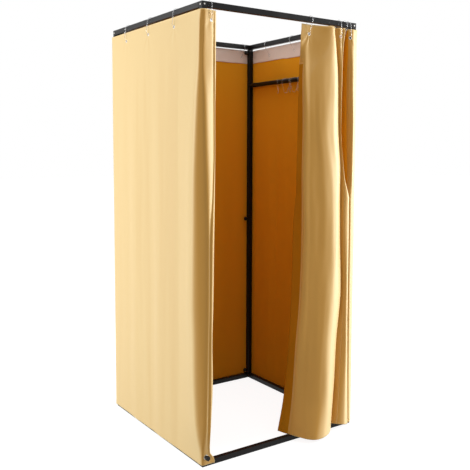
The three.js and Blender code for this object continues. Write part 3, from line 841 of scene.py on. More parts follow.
@dataclass
class HandKnobs:
    """Twelve lobed hand knobs, each with a neck, a collar and a threaded stud."""

    plan: RoomPlan
    radius: float = 0.011
    lobe_depth: float = 0.0015
    lobes: int = 6
    head_length: float = 0.014
    neck_radius: float = 0.0075
    neck_length: float = 0.007
    collar_radius: float = 0.005
    collar_length: float = 0.0015
    curtain_collar_length: float = 0.00585
    stud_radius: float = 0.003
    sides: int = 72

    def lobed(self, share: float, height: float, depth: float) -> np.ndarray:
        """One outline of the head.

        Args:
            share: its share of the head's radius.
            height: its height.
            depth: how deep the hollows between the lobes are.

        Returns:
            An array of points.
        """
        angle = np.linspace(0, 2 * math.pi, self.sides, endpoint=False)
        radius = share * self.radius - depth * (0.5 + 0.5 * np.cos(self.lobes * angle)) ** 1.6
        return np.stack([radius * np.cos(angle), radius * np.sin(angle), np.full(self.sides, height)], 1)

    def knob(self, collar: float) -> Draft:
        """One knob, with its axis up and its seat at the origin.

        Args:
            collar: the collar's length.

        Returns:
            Its mesh.
        """
        gap = self.plan.seat_gap
        neck = gap + collar
        head = neck + self.neck_length
        top = head + self.head_length
        depth = self.lobe_depth
        rings = [circle(self.stud_radius, self.sides, -self.plan.tube_wall),
                 circle(self.stud_radius, self.sides, gap),
                 circle(self.collar_radius, self.sides, gap),
                 circle(self.collar_radius, self.sides, neck),
                 circle(self.neck_radius * 0.94, self.sides, neck),
                 circle(self.neck_radius, self.sides, neck + 0.0006),
                 circle(self.neck_radius, self.sides, head - 0.0008),
                 self.lobed(0.78, head, depth * 0.2),
                 self.lobed(0.93, head + 0.0004, depth * 0.8),
                 self.lobed(1.0, head + 0.0022, depth),
                 self.lobed(1.0, top - 0.0032, depth),
                 self.lobed(0.95, top - 0.0012, depth * 0.9),
                 self.lobed(0.84, top - 0.0003, depth * 0.6),
                 circle(self.radius * 0.6, self.sides, top),
                 circle(self.radius * 0.45, self.sides, top - 0.0001),
                 circle(self.radius * 0.4, self.sides, top - 0.0009),
                 circle(self.radius * 0.1, self.sides, top - 0.001)]
        draft = Draft()
        draft.add_loft(rings)
        return draft

    def build(self, shelf: FinishShelf) -> None:
        """Makes every knob where its solid is.

        Args:
            shelf: the finishes.
        """
        for corner in Corner:
            for level in ("bottom", "middle", "top"):
                node = f"knob_{corner.label}_{level}"
                through_cloth = corner is Corner.FRONT_LEFT and level == "bottom"
                side = SideName.FRONT if through_cloth else corner.knob_side
                direction = self.plan.side(side).heading()
                low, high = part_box(node)
                middle = (low + high) / 2
                x, y = self.plan.post(corner)
                seat = Vector((x, y, middle.z)) + direction * self.plan.tube / 2
                if through_cloth:
                    seat.x = middle.x
                collar = self.curtain_collar_length if through_cloth else self.collar_length
                draft = self.knob(collar).place(pointing(direction, seat))
                piece = draft.build(f"hand_{node}", [shelf.plastic], even=True)
                declare(piece, node, "black_plastic", node)
                log.info("hand knob %s", node)


@dataclass
class GarmentBar:
    """Round bar between the right posts with a rounded plate at each end."""

    plan: RoomPlan
    sides: int = 48
    fillet: float = 0.0006
    plate: float = 0.003
    plate_corner: float = 0.003

    def build(self, shelf: FinishShelf) -> None:
        """Makes the bar in place of its solid.

        Args:
            shelf: the finishes.
        """
        low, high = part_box("garment_bar")
        middle = (low + high) / 2
        radius = (high.z - low.z) / 2
        along = Vector((0, 1, 0))
        length = high.y - low.y
        draft = Draft()
        draft.add_loft([circle(radius, self.sides, height)
                        for height in (self.plate / 2, length - self.plate / 2)])
        side = 2 * radius
        for start in (0.0, length - self.plate):
            outlines = filleted(side, self.plate_corner, self.fillet, start, start + self.plate)
            draft.add_loft([rounded_square(*outline) for outline in outlines])
        draft.place(pointing(along, Vector((middle.x, low.y, middle.z))))
        piece = draft.build("round_garment_bar", [shelf.steel], even=True)
        declare(piece, FRAME_BODY, "black_steel", "garment_bar")
        log.info("garment bar")


# Rings and eyelets


@dataclass(frozen=True)
class RingPlace:
    """A ring over a rail: its node, side, distance along it, its foot's reach both ways and its body."""

    node: str
    side: SideName
    distance: float
    out: float = 0.0
    sideways: float = 0.0
    body: str = FRAME_BODY


@dataclass
class PearRings:
    """Clear pear-shaped rings: a wide arc over the rail, straight sides and a narrow foot with a clasp."""

    plan: RoomPlan
    wire_radius: float = 0.0015
    slack: float = 0.0034
    seat_gap: float = 0.0004
    foot_radius: float = 0.008
    reach: float = 0.048
    rail_chamfer: float = 0.0015
    top_steps: int = 30
    foot_steps: int = 14
    side_steps: int = 5
    wire_sides: int = 10
    clasp_swell: float = 0.0007
    clasp_spread: float = 0.003

    @property
    def top_radius(self) -> float:
        """Inside radius of the wide arc."""
        return self.plan.tube / 2 * math.sqrt(2) + self.slack

    def drop(self, lean: float) -> float:
        """How far under the top of the rail the middle of the wide arc hangs when the ring leans."""
        half = self.plan.tube / 2 - self.rail_chamfer
        straight = math.sqrt((self.top_radius - self.seat_gap) ** 2 - half**2)
        return straight * math.cos(lean) - self.wire_radius * abs(math.sin(lean))

    def angles(self, out: float, sideways: float) -> tuple[float, float]:
        """A ring's tilt out of the room and its lean along the rail, which bring its foot to the cloth.

        Args:
            out: the foot's reach outside the cloth's plane.
            sideways: the foot's reach along the rail.

        Returns:
            The tilt and the lean.
        """
        tilt = math.asin((self.plan.cloth_reach + out) / self.reach)
        return tilt, math.asin(sideways / (self.reach * math.cos(tilt) + self.foot_radius))

    def path(self) -> np.ndarray:
        """The wire's middle line in the local XZ plane, with the wide arc's middle at the origin."""
        lean = math.asin((self.top_radius - self.foot_radius) / self.reach)
        top = self.top_radius + self.wire_radius
        foot = self.foot_radius + self.wire_radius
        points = []
        for i in range(self.top_steps):
            angle = -lean + (math.pi + 2 * lean) * i / (self.top_steps - 1)
            points.append((top * math.cos(angle), top * math.sin(angle)))
        narrow = []
        for i in range(self.foot_steps):
            angle = math.pi + lean + (math.pi - 2 * lean) * i / (self.foot_steps - 1)
            narrow.append((foot * math.cos(angle), foot * math.sin(angle) - self.reach))
        ends = [(points[-1], narrow[0]), (narrow[-1], points[0])]
        sides = [[tuple(np.array(a) + (np.array(b) - np.array(a)) * i / self.side_steps)
                  for i in range(1, self.side_steps)] for a, b in ends]
        return np.array(points + sides[0] + narrow + sides[1])

    def ring(self) -> Draft:
        """One ring in its local XZ plane.

        Returns:
            Its mesh.
        """
        path = self.path()
        count = len(path)
        clasp = path[self.top_steps + self.side_steps + self.foot_steps]
        rings = []
        for i, (x, z) in enumerate(path):
            ahead = path[(i + 1) % count] - path[i - 1]
            inward = np.array((-ahead[1], ahead[0])) / np.hypot(*ahead)
            distance = math.hypot(x - clasp[0], z - clasp[1])
            radius = self.wire_radius + self.clasp_swell * math.exp(-((distance / self.clasp_spread) ** 2))
            angle = np.linspace(0, 2 * math.pi, self.wire_sides, endpoint=False)
            across = radius * np.cos(angle)
            depth = radius * np.sin(angle)
            rings.append(np.stack([x + inward[0] * across, depth, z + inward[1] * across], 1))
        draft = Draft()
        draft.add_loft(rings, closed=True)
        return draft

    def on_rail(self, place: RingPlace) -> Matrix:
        """The placement of a ring over a rail, turned so that its foot reaches the cloth."""
        tilt, lean = self.angles(place.out, place.sideways)
        side = self.plan.side(place.side)
        heading = math.atan2(side.out[1], side.out[0])
        centre = self.plan.point(place.side, place.distance, -self.plan.cloth_reach,
                                 self.plan.height - self.drop(lean))
        turn = (Matrix.Rotation(heading, 4, "Z") @ Matrix.Rotation(lean, 4, "X")
                @ Matrix.Rotation(-tilt, 4, "Y"))
        return Matrix.Translation(centre) @ turn

    def eyelet_height(self, out: float = 0.0, sideways: float = 0.0) -> float:
        """Height of an eyelet's middle under a ring whose foot reaches that far."""
        tilt, lean = self.angles(out, sideways)
        foot = (self.reach * math.cos(tilt) + self.foot_radius) * math.cos(lean)
        return self.plan.height - self.drop(lean) - foot + self.seat_gap - Eyelets.bore

    def on_bar(self, y: float, turn: float, bar: tuple[Vector, Vector]) -> Matrix:
        """The placement of a spare ring that hangs on the garment bar.

        Args:
            y: its place along the bar.
            turn: how far it is turned about the vertical, in half turns.
            bar: the bar's box.

        Returns:
            The placement.
        """
        low, high = bar
        radius = (high.z - low.z) / 2
        angle = turn * math.pi
        across = radius / math.cos(angle)
        sideways = self.wire_radius * abs(math.tan(angle))
        inside = self.top_radius - self.seat_gap
        drop = inside - radius
        for part in np.linspace(0, math.pi / 2, 21):
            half = min(inside, across * math.cos(part) + sideways)
            drop = min(drop, math.sqrt(inside**2 - half**2) - radius * math.sin(part))
        place = Vector(((low.x + high.x) / 2, y, (low.z + high.z) / 2 - drop))
        return Matrix.Translation(place) @ Matrix.Rotation(angle, 4, "Z")

    def make(self, name: str, matrix: Matrix, body: str, shelf: FinishShelf, *nodes: str) -> None:
        """Makes one ring.

        Args:
            name: the piece's name.
            matrix: its placement.
            body: the body that it rides on.
            shelf: the finishes.
            nodes: the CAD node that it stands for, if there is one.
        """
        piece = self.ring().place(matrix).build(name, [shelf.clear])
        declare(piece, body, "clear_plastic", *nodes)
        log.info("ring %s", name)

    def build(self, places: Iterable[RingPlace], shelf: FinishShelf) -> None:
        """Makes the rings over the rails and those on the bar.

        Args:
            places: the rings over the rails.
            shelf: the finishes.
        """
        for place in places:
            self.make(f"clear_{place.node}", self.on_rail(place), place.body, shelf, place.node)
        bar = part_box("garment_bar")
        centre_y = (self.plan.front + self.plan.back) / 2
        for spare in SPARE_RINGS:
            matrix = self.on_bar(centre_y + spare.y, spare.turn, bar)
            nodes = (spare.name,) if spare.is_node else ()
            self.make(f"spare_{spare.name}", matrix, spare.body, shelf, *nodes)


@dataclass(frozen=True)
class SpareRing:
    """A spare ring on the garment bar: its place from the middle of the room, its turn and its body."""

    name: str
    y: float
    turn: float
    body: str
    is_node: bool = False


SPARE_RINGS = (
    SpareRing("bar_ring_1", 0.15752, 0.23, "bar_ring_1", True),
    SpareRing("bar_ring_2", 0.088, -0.23, "bar_ring_2", True),
    SpareRing("extra_ring_1", 0.052, 0.21, "bar_ring_2"),
    SpareRing("extra_ring_2", 0.016, -0.2, "bar_ring_2"),
    SpareRing("extra_ring_3", -0.022, 0.22, "bar_ring_2"),
)


@dataclass
class Eyelets:
    """Pressed metal eyelets with a rolled rim on both faces of the cloth."""

    bore = 0.005
    hole = 1.25 * bore
    rim: float = 0.0078
    outer_lip: float = 0.0017
    inner_lip: float = 0.0017
    lined_lip: float = 0.0031
    sides: int = 32

    def eyelet(self, scale: float = 1.0, inner_lip: float | None = None) -> Draft:
        """One eyelet about +Z, which points out of the cloth.

        Args:
            scale: how much larger than a curtain ring's eyelet it is.
            inner_lip: how far its inner rim stands from the middle of the cloth.

        Returns:
            Its mesh.
        """
        bore, rim = self.bore * scale, self.rim * scale
        low = -(inner_lip or self.inner_lip)
        high = self.outer_lip
        wide = rim - bore
        profile = [(bore, 0.6 * low), (bore, 0.6 * high), (bore + 0.2 * wide, 0.95 * high),
                   (bore + 0.45 * wide, high), (bore + 0.75 * wide, 0.85 * high), (rim, 0.4 * high),
                   (rim, 0.4 * low), (bore + 0.75 * wide, 0.85 * low), (bore + 0.45 * wide, low),
                   (bore + 0.2 * wide, 0.95 * low)]
        draft = Draft()
        draft.add_loft([circle(radius, self.sides, height) for radius, height in profile], closed=True)
        return draft

    def make(self, name: str, matrix: Matrix, body: str, shelf: FinishShelf, scale: float = 1.0,
             lined: bool = False) -> bpy.types.Object:
        """Makes one eyelet in the cloth.

        Args:
            name: the piece's name.
            matrix: its placement.
            body: the body that it rides on.
            shelf: the finishes.
            scale: how much larger than a curtain ring's eyelet it is.
            lined: whether a lining lies between the cloth and its inner rim.

        Returns:
            The eyelet.
        """
        draft = self.eyelet(scale, self.lined_lip if lined else None)
        piece = draft.place(matrix).build(name, [shelf.metal])
        declare(piece, body, "bright_metal")
        return piece


# Cloth


def hermite(t: float) -> tuple[float, float, float, float]:
    """Weights of a cubic's start, its slope there, its end and its slope there."""
    return 2 * t**3 - 3 * t**2 + 1, t**3 - 2 * t**2 + t, -2 * t**3 + 3 * t**2, t**3 - t**2


def curve_through(points: np.ndarray, counts: Sequence[int]) -> np.ndarray:
    """A smooth curve through points.

    Args:
        points: the points.
        counts: how many steps each stretch between two of them has.

    Returns:
        Points along the curve.
    """
    steps = np.hypot(*(points[1:] - points[:-1]).T) ** 0.5 + 1e-6
    knots = np.concatenate([[0.0], np.cumsum(steps)])
    slopes = np.zeros_like(points)
    rise = (points[1:] - points[:-1]) / steps[:, None]
    slopes[0], slopes[-1] = rise[0], rise[-1]
    weight = (steps[1:] / (steps[:-1] + steps[1:]))[:, None]
    slopes[1:-1] = rise[:-1] * weight + rise[1:] * (1 - weight)
    curve = []
    for k, count in enumerate(counts):
        width = knots[k + 1] - knots[k]
        for i in range(count):
            a, b, c, d = hermite(i / count)
            curve.append(a * points[k] + b * width * slopes[k] + c * points[k + 1]
                         + d * width * slopes[k + 1])
    curve.append(points[-1])
    return np.array(curve)


def between_rows(shares: Sequence[float], rows: np.ndarray, wanted: np.ndarray) -> np.ndarray:
    """Values at other heights than those of a table, on smooth curves without overshoot.

    Args:
        shares: the heights of the table's rows, as shares of the drop.
        rows: the table, one entry for each row.
        wanted: the heights to find.

    Returns:
        One entry for each wanted height.
    """
    shares = np.array(shares)
    gaps = shares[1:] - shares[:-1]
    tail = (1,) * (rows.ndim - 1)
    rise = (rows[1:] - rows[:-1]) / gaps.reshape(-1, *tail)
    slopes = np.zeros_like(rows)
    slopes[1:-1] = np.where(rise[:-1] * rise[1:] > 0,
                            2 * rise[:-1] * rise[1:] / (rise[:-1] + rise[1:] + 1e-12), 0.0)
    slopes[-1] = rise[-1]
    found = []
    for share in wanted:
        k = int(np.clip(np.searchsorted(shares, share, side="right") - 1, 0, len(gaps) - 1))
        a, b, c, d = hermite((share - shares[k]) / gaps[k])
        found.append(a * rows[k] + b * gaps[k] * slopes[k] + c * rows[k + 1] + d * gaps[k] * slopes[k + 1])
    return np.array(found)


def smooth_step(value: float | np.ndarray, start: float, end: float) -> float | np.ndarray:
    """0 before start, 1 after end and a smooth rise between them."""
    t = np.clip((value - start) / (end - start), 0, 1)
    return t * t * (3 - 2 * t)


@dataclass(frozen=True)
class PaintedShadePart:
    """Columns of a sheet between two heights whose outside takes a darker finish as painted shade."""

    first: int
    last: int
    low: float
    high: float
    finish: int = 1

    def holds(self, column: int, height: float) -> bool:
        """Whether a place is in this part."""
        return self.first <= column < self.last and self.low < height < self.high


@dataclass
class ClothSurface:
    """The middle of a hanging sheet as a grid of points, its rows from the top down."""

    grid: np.ndarray
    outward: int
    thickness: float = 0.0012
    faces_out: int = 0
    faces_in: int = 1
    # Parts whose outside takes a darker finish as painted shade.
    turned: tuple[PaintedShadePart, ...] = ()

    def normals(self) -> np.ndarray:
        """Unit normals of the grid that point out of the room."""
        across = np.gradient(self.grid, axis=1)
        down = np.gradient(self.grid, axis=0)
        normal = np.cross(across, down) * self.outward
        return normal / (np.linalg.norm(normal, axis=2, keepdims=True) + 1e-12)

    def flat_places(self) -> np.ndarray:
        """Each point's place on the flat cloth, across and down."""
        across = np.linalg.norm(np.diff(self.grid, axis=1), axis=2).mean(axis=0)
        down = np.linalg.norm(np.diff(self.grid, axis=0), axis=2).mean(axis=1)
        u = np.concatenate([[0.0], np.cumsum(across)])
        v = np.concatenate([[0.0], np.cumsum(down)])
        return np.stack(np.meshgrid(u, v), axis=2)

    def nearest(self, point: Vector) -> tuple[int, int]:
        """Row and column of the place nearest to a point."""
        gap = np.linalg.norm(self.grid - np.array(point), axis=2)
        row, column = np.unravel_index(int(gap.argmin()), gap.shape)
        return int(row), int(column)

    def displace(self, height: np.ndarray) -> None:
        """Moves the grid outwards by a height at each point."""
        self.grid = self.grid + self.normals() * height[:, :, None]

    def piece(self, name: str, finishes: Sequence[bpy.types.Material], start: int = 0,
              end: int | None = None) -> bpy.types.Object:
        """Makes the sheet between two columns as a closed mesh of even thickness.

        Args:
            name: the piece's name.
            finishes: the outer finish, the inner one and any darker ones for painted shade.
            start: the first column.
            end: one past the last column.

        Returns:
            The sheet.
        """
        offset = self.normals()[:, start:end] * self.thickness / 2
        middle = self.grid[:, start:end]
        places = self.flat_places()[:, start:end].reshape(-1, 2)
        rows, columns = middle.shape[:2]
        draft = Draft()
        outer = draft.add_points((middle + offset).reshape(-1, 3), places)
        inner = draft.add_points((middle - offset).reshape(-1, 3), places)
        for row in range(rows - 1):
            for column in range(columns - 1):
                a = row * columns + column
                quad = (a, a + columns, a + columns + 1, a + 1)
                # Faces in a part with painted shade take its darker finish.
                turned = [part.finish for part in self.turned
                          if part.holds(start + column, middle[row, 0, 2])]
                draft.add_face([outer + i for i in quad], turned[0] if turned else self.faces_out)
                draft.add_face([inner + i for i in reversed(quad)], self.faces_in)
        rim = list(range(columns))
        rim += [row * columns + columns - 1 for row in range(1, rows)]
        rim += [(rows - 1) * columns + column for column in range(columns - 2, -1, -1)]
        rim += [row * columns for row in range(rows - 2, 0, -1)]
        for i, a in enumerate(rim):
            b = rim[(i + 1) % len(rim)]
            draft.add_face((outer + a, outer + b, inner + b, inner + a), self.faces_out)
        return draft.build(name, finishes)


def punch(piece: bpy.types.Object, holes: Sequence[Matrix], radius: float) -> None:
    """Cuts round holes through a sheet.

    Args:
        piece: the sheet.
        holes: a placement for each hole, with +Z through the cloth.
        radius: the holes' radius.
    """
    if not holes:
        return
    draft = Draft()
    for hole in holes:
        part = Draft()
        part.add_loft([circle(radius, HOLE_SIDES, -HOLE_DEPTH), circle(radius, HOLE_SIDES, HOLE_DEPTH)])
        draft.merge(part.place(hole))
    cutter = draft.build("hole_cutter", [])
    cut = piece.modifiers.new("eyelet_holes", "BOOLEAN")
    cut.operation = "DIFFERENCE"
    cut.solver = "EXACT"
    cut.object = cutter
    apply_modifiers(piece)
    bpy.data.objects.remove(cutter)
    piece.data.shade_smooth()


@dataclass
class WallShape:
    """Soft upright waves of a wall curtain that fade out towards its ends and its header."""

    fold_depth: float = 0.008
    long_waves: float = 3.2
    short_waves: float = 7.1
    short_weight: float = 0.4
    short_shift: float = 0.16
    depth_shares: tuple[float, ...] = (0.0, 0.0, 0.3, 0.7, 1.0, 0.9, 0.6)
    row_shares: tuple[float, ...] = (0.0, 0.045, 0.115, 0.24, 0.5, 0.78, 1.0)
    swell: float = 0.0
    swell_shares: tuple[float, ...] = (0.0, 0.0, 1.0, 0.7, 0.3, 0.0, 0.0)

    def out(self, shares: np.ndarray, rows: np.ndarray) -> np.ndarray:
        """How far out the wall hangs.

        Args:
            shares: places along the wall, from 0 to 1.
            rows: heights, as shares of the drop.

        Returns:
            One row of distances for each height.
        """
        depth = between_rows(self.row_shares, np.array(self.depth_shares)[:, None], rows)
        swell = between_rows(self.row_shares, np.array(self.swell_shares)[:, None], rows)
        long = np.sin(2 * math.pi * self.long_waves * shares)
        short = np.sin(2 * math.pi * (self.short_waves * shares + self.short_shift))
        mixed = (long + self.short_weight * short) / (1 + self.short_weight)
        wave = (1 + mixed) / 2 * np.sin(math.pi * shares)
        bulge = self.swell * swell * np.sin(math.pi * shares)[None, :]
        return self.fold_depth * depth * wave[None, :] + bulge


def row_grid(count: int, header: float = 0.05, hem: float = 0.012, header_rows: int = 12,
             hem_rows: int = 6) -> np.ndarray:
    """Heights of a sheet's rows as shares of its drop, closer together at the header and the hem.

    Args:
        count: how many rows the middle has.
        header: the share that the header takes.
        hem: the share that the hem takes.
        header_rows: how many rows the header has.
        hem_rows: how many rows the hem has.

    Returns:
        The shares.
    """
    top = np.linspace(0, header, header_rows, endpoint=False)
    middle = np.linspace(header, 1 - hem, count, endpoint=False)
    foot = np.linspace(1 - hem, 1, hem_rows)
    return np.concatenate([top, middle, foot])


def stitched_edge(rows: np.ndarray, drop: float, header: float, hem: float) -> np.ndarray:
    """Extra height of the turned and stitched header and hem.

    Args:
        rows: heights, as shares of the drop.
        drop: the cloth's drop.
        header: how wide the header is.
        hem: how wide the hem is.

    Returns:
        A height for each row.
    """
    down = rows * drop
    top = 1 - smooth_step(down, header - 0.001, header + 0.003)
    foot = smooth_step(down, drop - hem - 0.003, drop - hem + 0.001)
    seam = sum(np.exp(-((gap / SEAM_WIDTH) ** 2))
               for gap in (down - header + SEAM_INSET, down - drop + hem - SEAM_INSET))
    return EDGE_RISE * (top + foot) - SEAM_DEPTH * seam


def soft_noise(u: np.ndarray, v: np.ndarray, across: float, down: float, seed: float) -> np.ndarray:
    """Smooth noise over the flat cloth.

    Args:
        u: places across, in metres.
        v: places down, in metres.
        across: how wide the bumps are.
        down: how tall the bumps are.
        seed: which noise.

    Returns:
        Values from about -1 to 1.
    """
    flat = [noise.noise(Vector((a / across, b / down, seed))) for a, b in zip(u.ravel(), v.ravel())]
    return np.array(flat).reshape(u.shape)


def ease_columns(places: np.ndarray, first: int, last: int, passes: int,
                 amount: float | np.ndarray = 0.25) -> None:
    """Softens the bends of a grid of places across its columns.

    Args:
        places: the grid, changed in place: its first two values are x and y.
        first: the first column that stays.
        last: one past the last column that stays.
        passes: how often each place moves towards its neighbours.
        amount: how far each time, for all rows or row by row.
    """
    for _ in range(passes):
        middles = places[:, first + 1 : last - 1, :2]
        middles += amount * (places[:, first : last - 2, :2] + places[:, first + 2 : last, :2] - 2 * middles)


def eyelet_pucker(u: np.ndarray, v: np.ndarray, centre: tuple[float, float], height: float, reach: float,
                  rays: int, lean: float) -> np.ndarray:
    """Creases that fan out below an eyelet.

    Args:
        u: places across, in metres.
        v: places down, in metres.
        centre: the eyelet's place.
        height: the creases' height.
        reach: how far they run.
        rays: how many there are in a full turn.
        lean: the angle that the fan leans towards, 0 straight down.

    Returns:
        A height for each place.
    """
    across = u - centre[0]
    down = v - centre[1]
    distance = np.hypot(across, down)
    angle = np.arctan2(across, down) - lean
    fan = np.exp(-((angle / 0.9) ** 2))
    along = np.exp(-(distance / reach)) * smooth_step(distance, 0.006, 0.02)
    return height * fan * along * np.cos(rays * angle)


# The cloth round the front left corner in plan, in millimetres from the frame's corner: each row is a height
# and the points from the wrap's free edge, round the post, to the start of the left wall
CORNER_ROWS = (
    (1966, ((70, 3.4), (63, 1.4), (58, 0.8), (52, -0.6), (28, -5.8), (5, -10), (1.2, -7), (-2.8, -2.8),
            (-4.8, 1.2), (-5.5, 8), (-5.2, 40), (-4.6, 85))),
    (1922, ((73, 6.4), (64.5, 2.9), (59, 3.2), (52.8, 0.6), (28, -5.6), (3, -11.6), (0, -8), (-3.7, -3.7),
            (-6.3, 0), (-8.6, 4.2), (-8.1, 36), (-6.4, 79))),
    (1756, ((73.1, 8), (65.4, 4.5), (60.2, 6.9), (54.3, 3.8), (24.6, -3.8), (0.1, -8.3), (-2.1, -6.2),
            (-4, -3.8), (-8.3, 2.3), (-12.2, 8.8), (-11.3, 40.8), (-8.1, 83.8))),
    (1588, ((70.1, 8), (65.5, 4.5), (59.5, 6), (52.9, 1.8), (27.5, -8.4), (5.3, -15.4), (-0.1, -10.2),
            (-4.7, -4.3), (-12.9, 7.5), (-20.3, 19.9), (-18.3, 51.9), (-12.1, 94.9))),
    (1375, ((65.4, 1.1), (62.1, -1.9), (56.1, -0.5), (49.5, -4.7), (28, -13.5), (8.4, -19.7), (1.1, -12.6),
            (-5.1, -4.6), (-16.1, 11), (-25.9, 27.6), (-23.3, 59.6), (-14.9, 102.6))),
    (1245, ((60.1, -5.4), (54.1, -9.4), (48.1, -7.9), (41.5, -12.1), (26.4, -18.6), (11, -23.2),
            (2.2, -14.5), (-5.4, -4.8), (-17.7, 12.8), (-28.7, 31.4), (-25.7, 63.4), (-16.3, 106.4))),
    (985, ((44, -24.7), (33.1, -28.2), (28.6, -25.7), (24.1, -23.9), (21.3, -24.3), (14.1, -27.5),
           (3.6, -16.8), (-5.6, -5), (-18.4, 13.4), (-29.7, 32.9), (-26.6, 64.9), (-16.9, 107.9))),
    (730, ((41.2, -23), (30.4, -26.5), (26.9, -24.4), (23.5, -23.2), (20.8, -23.6), (13.6, -26.8),
           (3.2, -16.5), (-5.6, -5), (-19.3, 14.6), (-31.5, 35.3), (-28.2, 67.3), (-17.7, 110.3))),
    (555, ((37.2, -21.5), (30.3, -25), (26.1, -22.7), (22, -21.1), (19.2, -21.5), (12.1, -24.7),
           (2.7, -15.2), (-5.4, -4.9), (-17.5, 12.6), (-28.3, 30.9), (-25.4, 62.9), (-16.2, 105.9))),
    (371, ((40.4, -19.7), (29.5, -23.2), (25, -20.7), (20.4, -18.9), (17.7, -19.3), (10.5, -22.5),
           (2, -14.1), (-5.3, -4.7), (-16.7, 11.7), (-26.9, 29), (-24.2, 61), (-15.5, 104))),
    (198, ((33.8, -17.6), (29, -21.1), (23.7, -18.2), (18.4, -16.1), (15.6, -16.5), (8.4, -19.7),
           (1.2, -12.5), (-4.9, -4.5), (-14.2, 8.7), (-22.4, 22.7), (-20.2, 54.7), (-13.2, 97.7))),
    (114, ((31.8, -12.2), (29.5, -14.7), (23.9, -12.4), (18.8, -10.9), (16, -10.8), (6.9, -12.5),
           (0.7, -8.2), (-4.2, -3.9), (-9.6, 4.8), (-14.8, 15.5), (-13.2, 47.5), (-9.9, 91.5))),
    (62, ((36, -5.5), (33, -6.4), (30.5, -5), (28, -4.4), (22, -4.2), (6, -4.2), (1, -4), (-2.9, -2.9),
          (-4.6, 1), (-7, 10), (-7, 45), (-6, 90))),
    (30, ((57, -5), (50, -4.7), (44, -4.4), (38, -4.2), (24, -4.2), (6, -4.2), (1, -4), (-2.6, -2.6),
          (-4.3, 1), (-5.5, 10), (-5.5, 45), (-5, 90))),
    (10, ((60, -5), (53, -4.8), (47, -4.5), (40, -4.2), (25, -4.2), (6, -4.2), (1, -4), (-2.5, -2.5),
          (-4.2, 1), (-4.8, 10), (-4.8, 45), (-4.6, 90))),
)


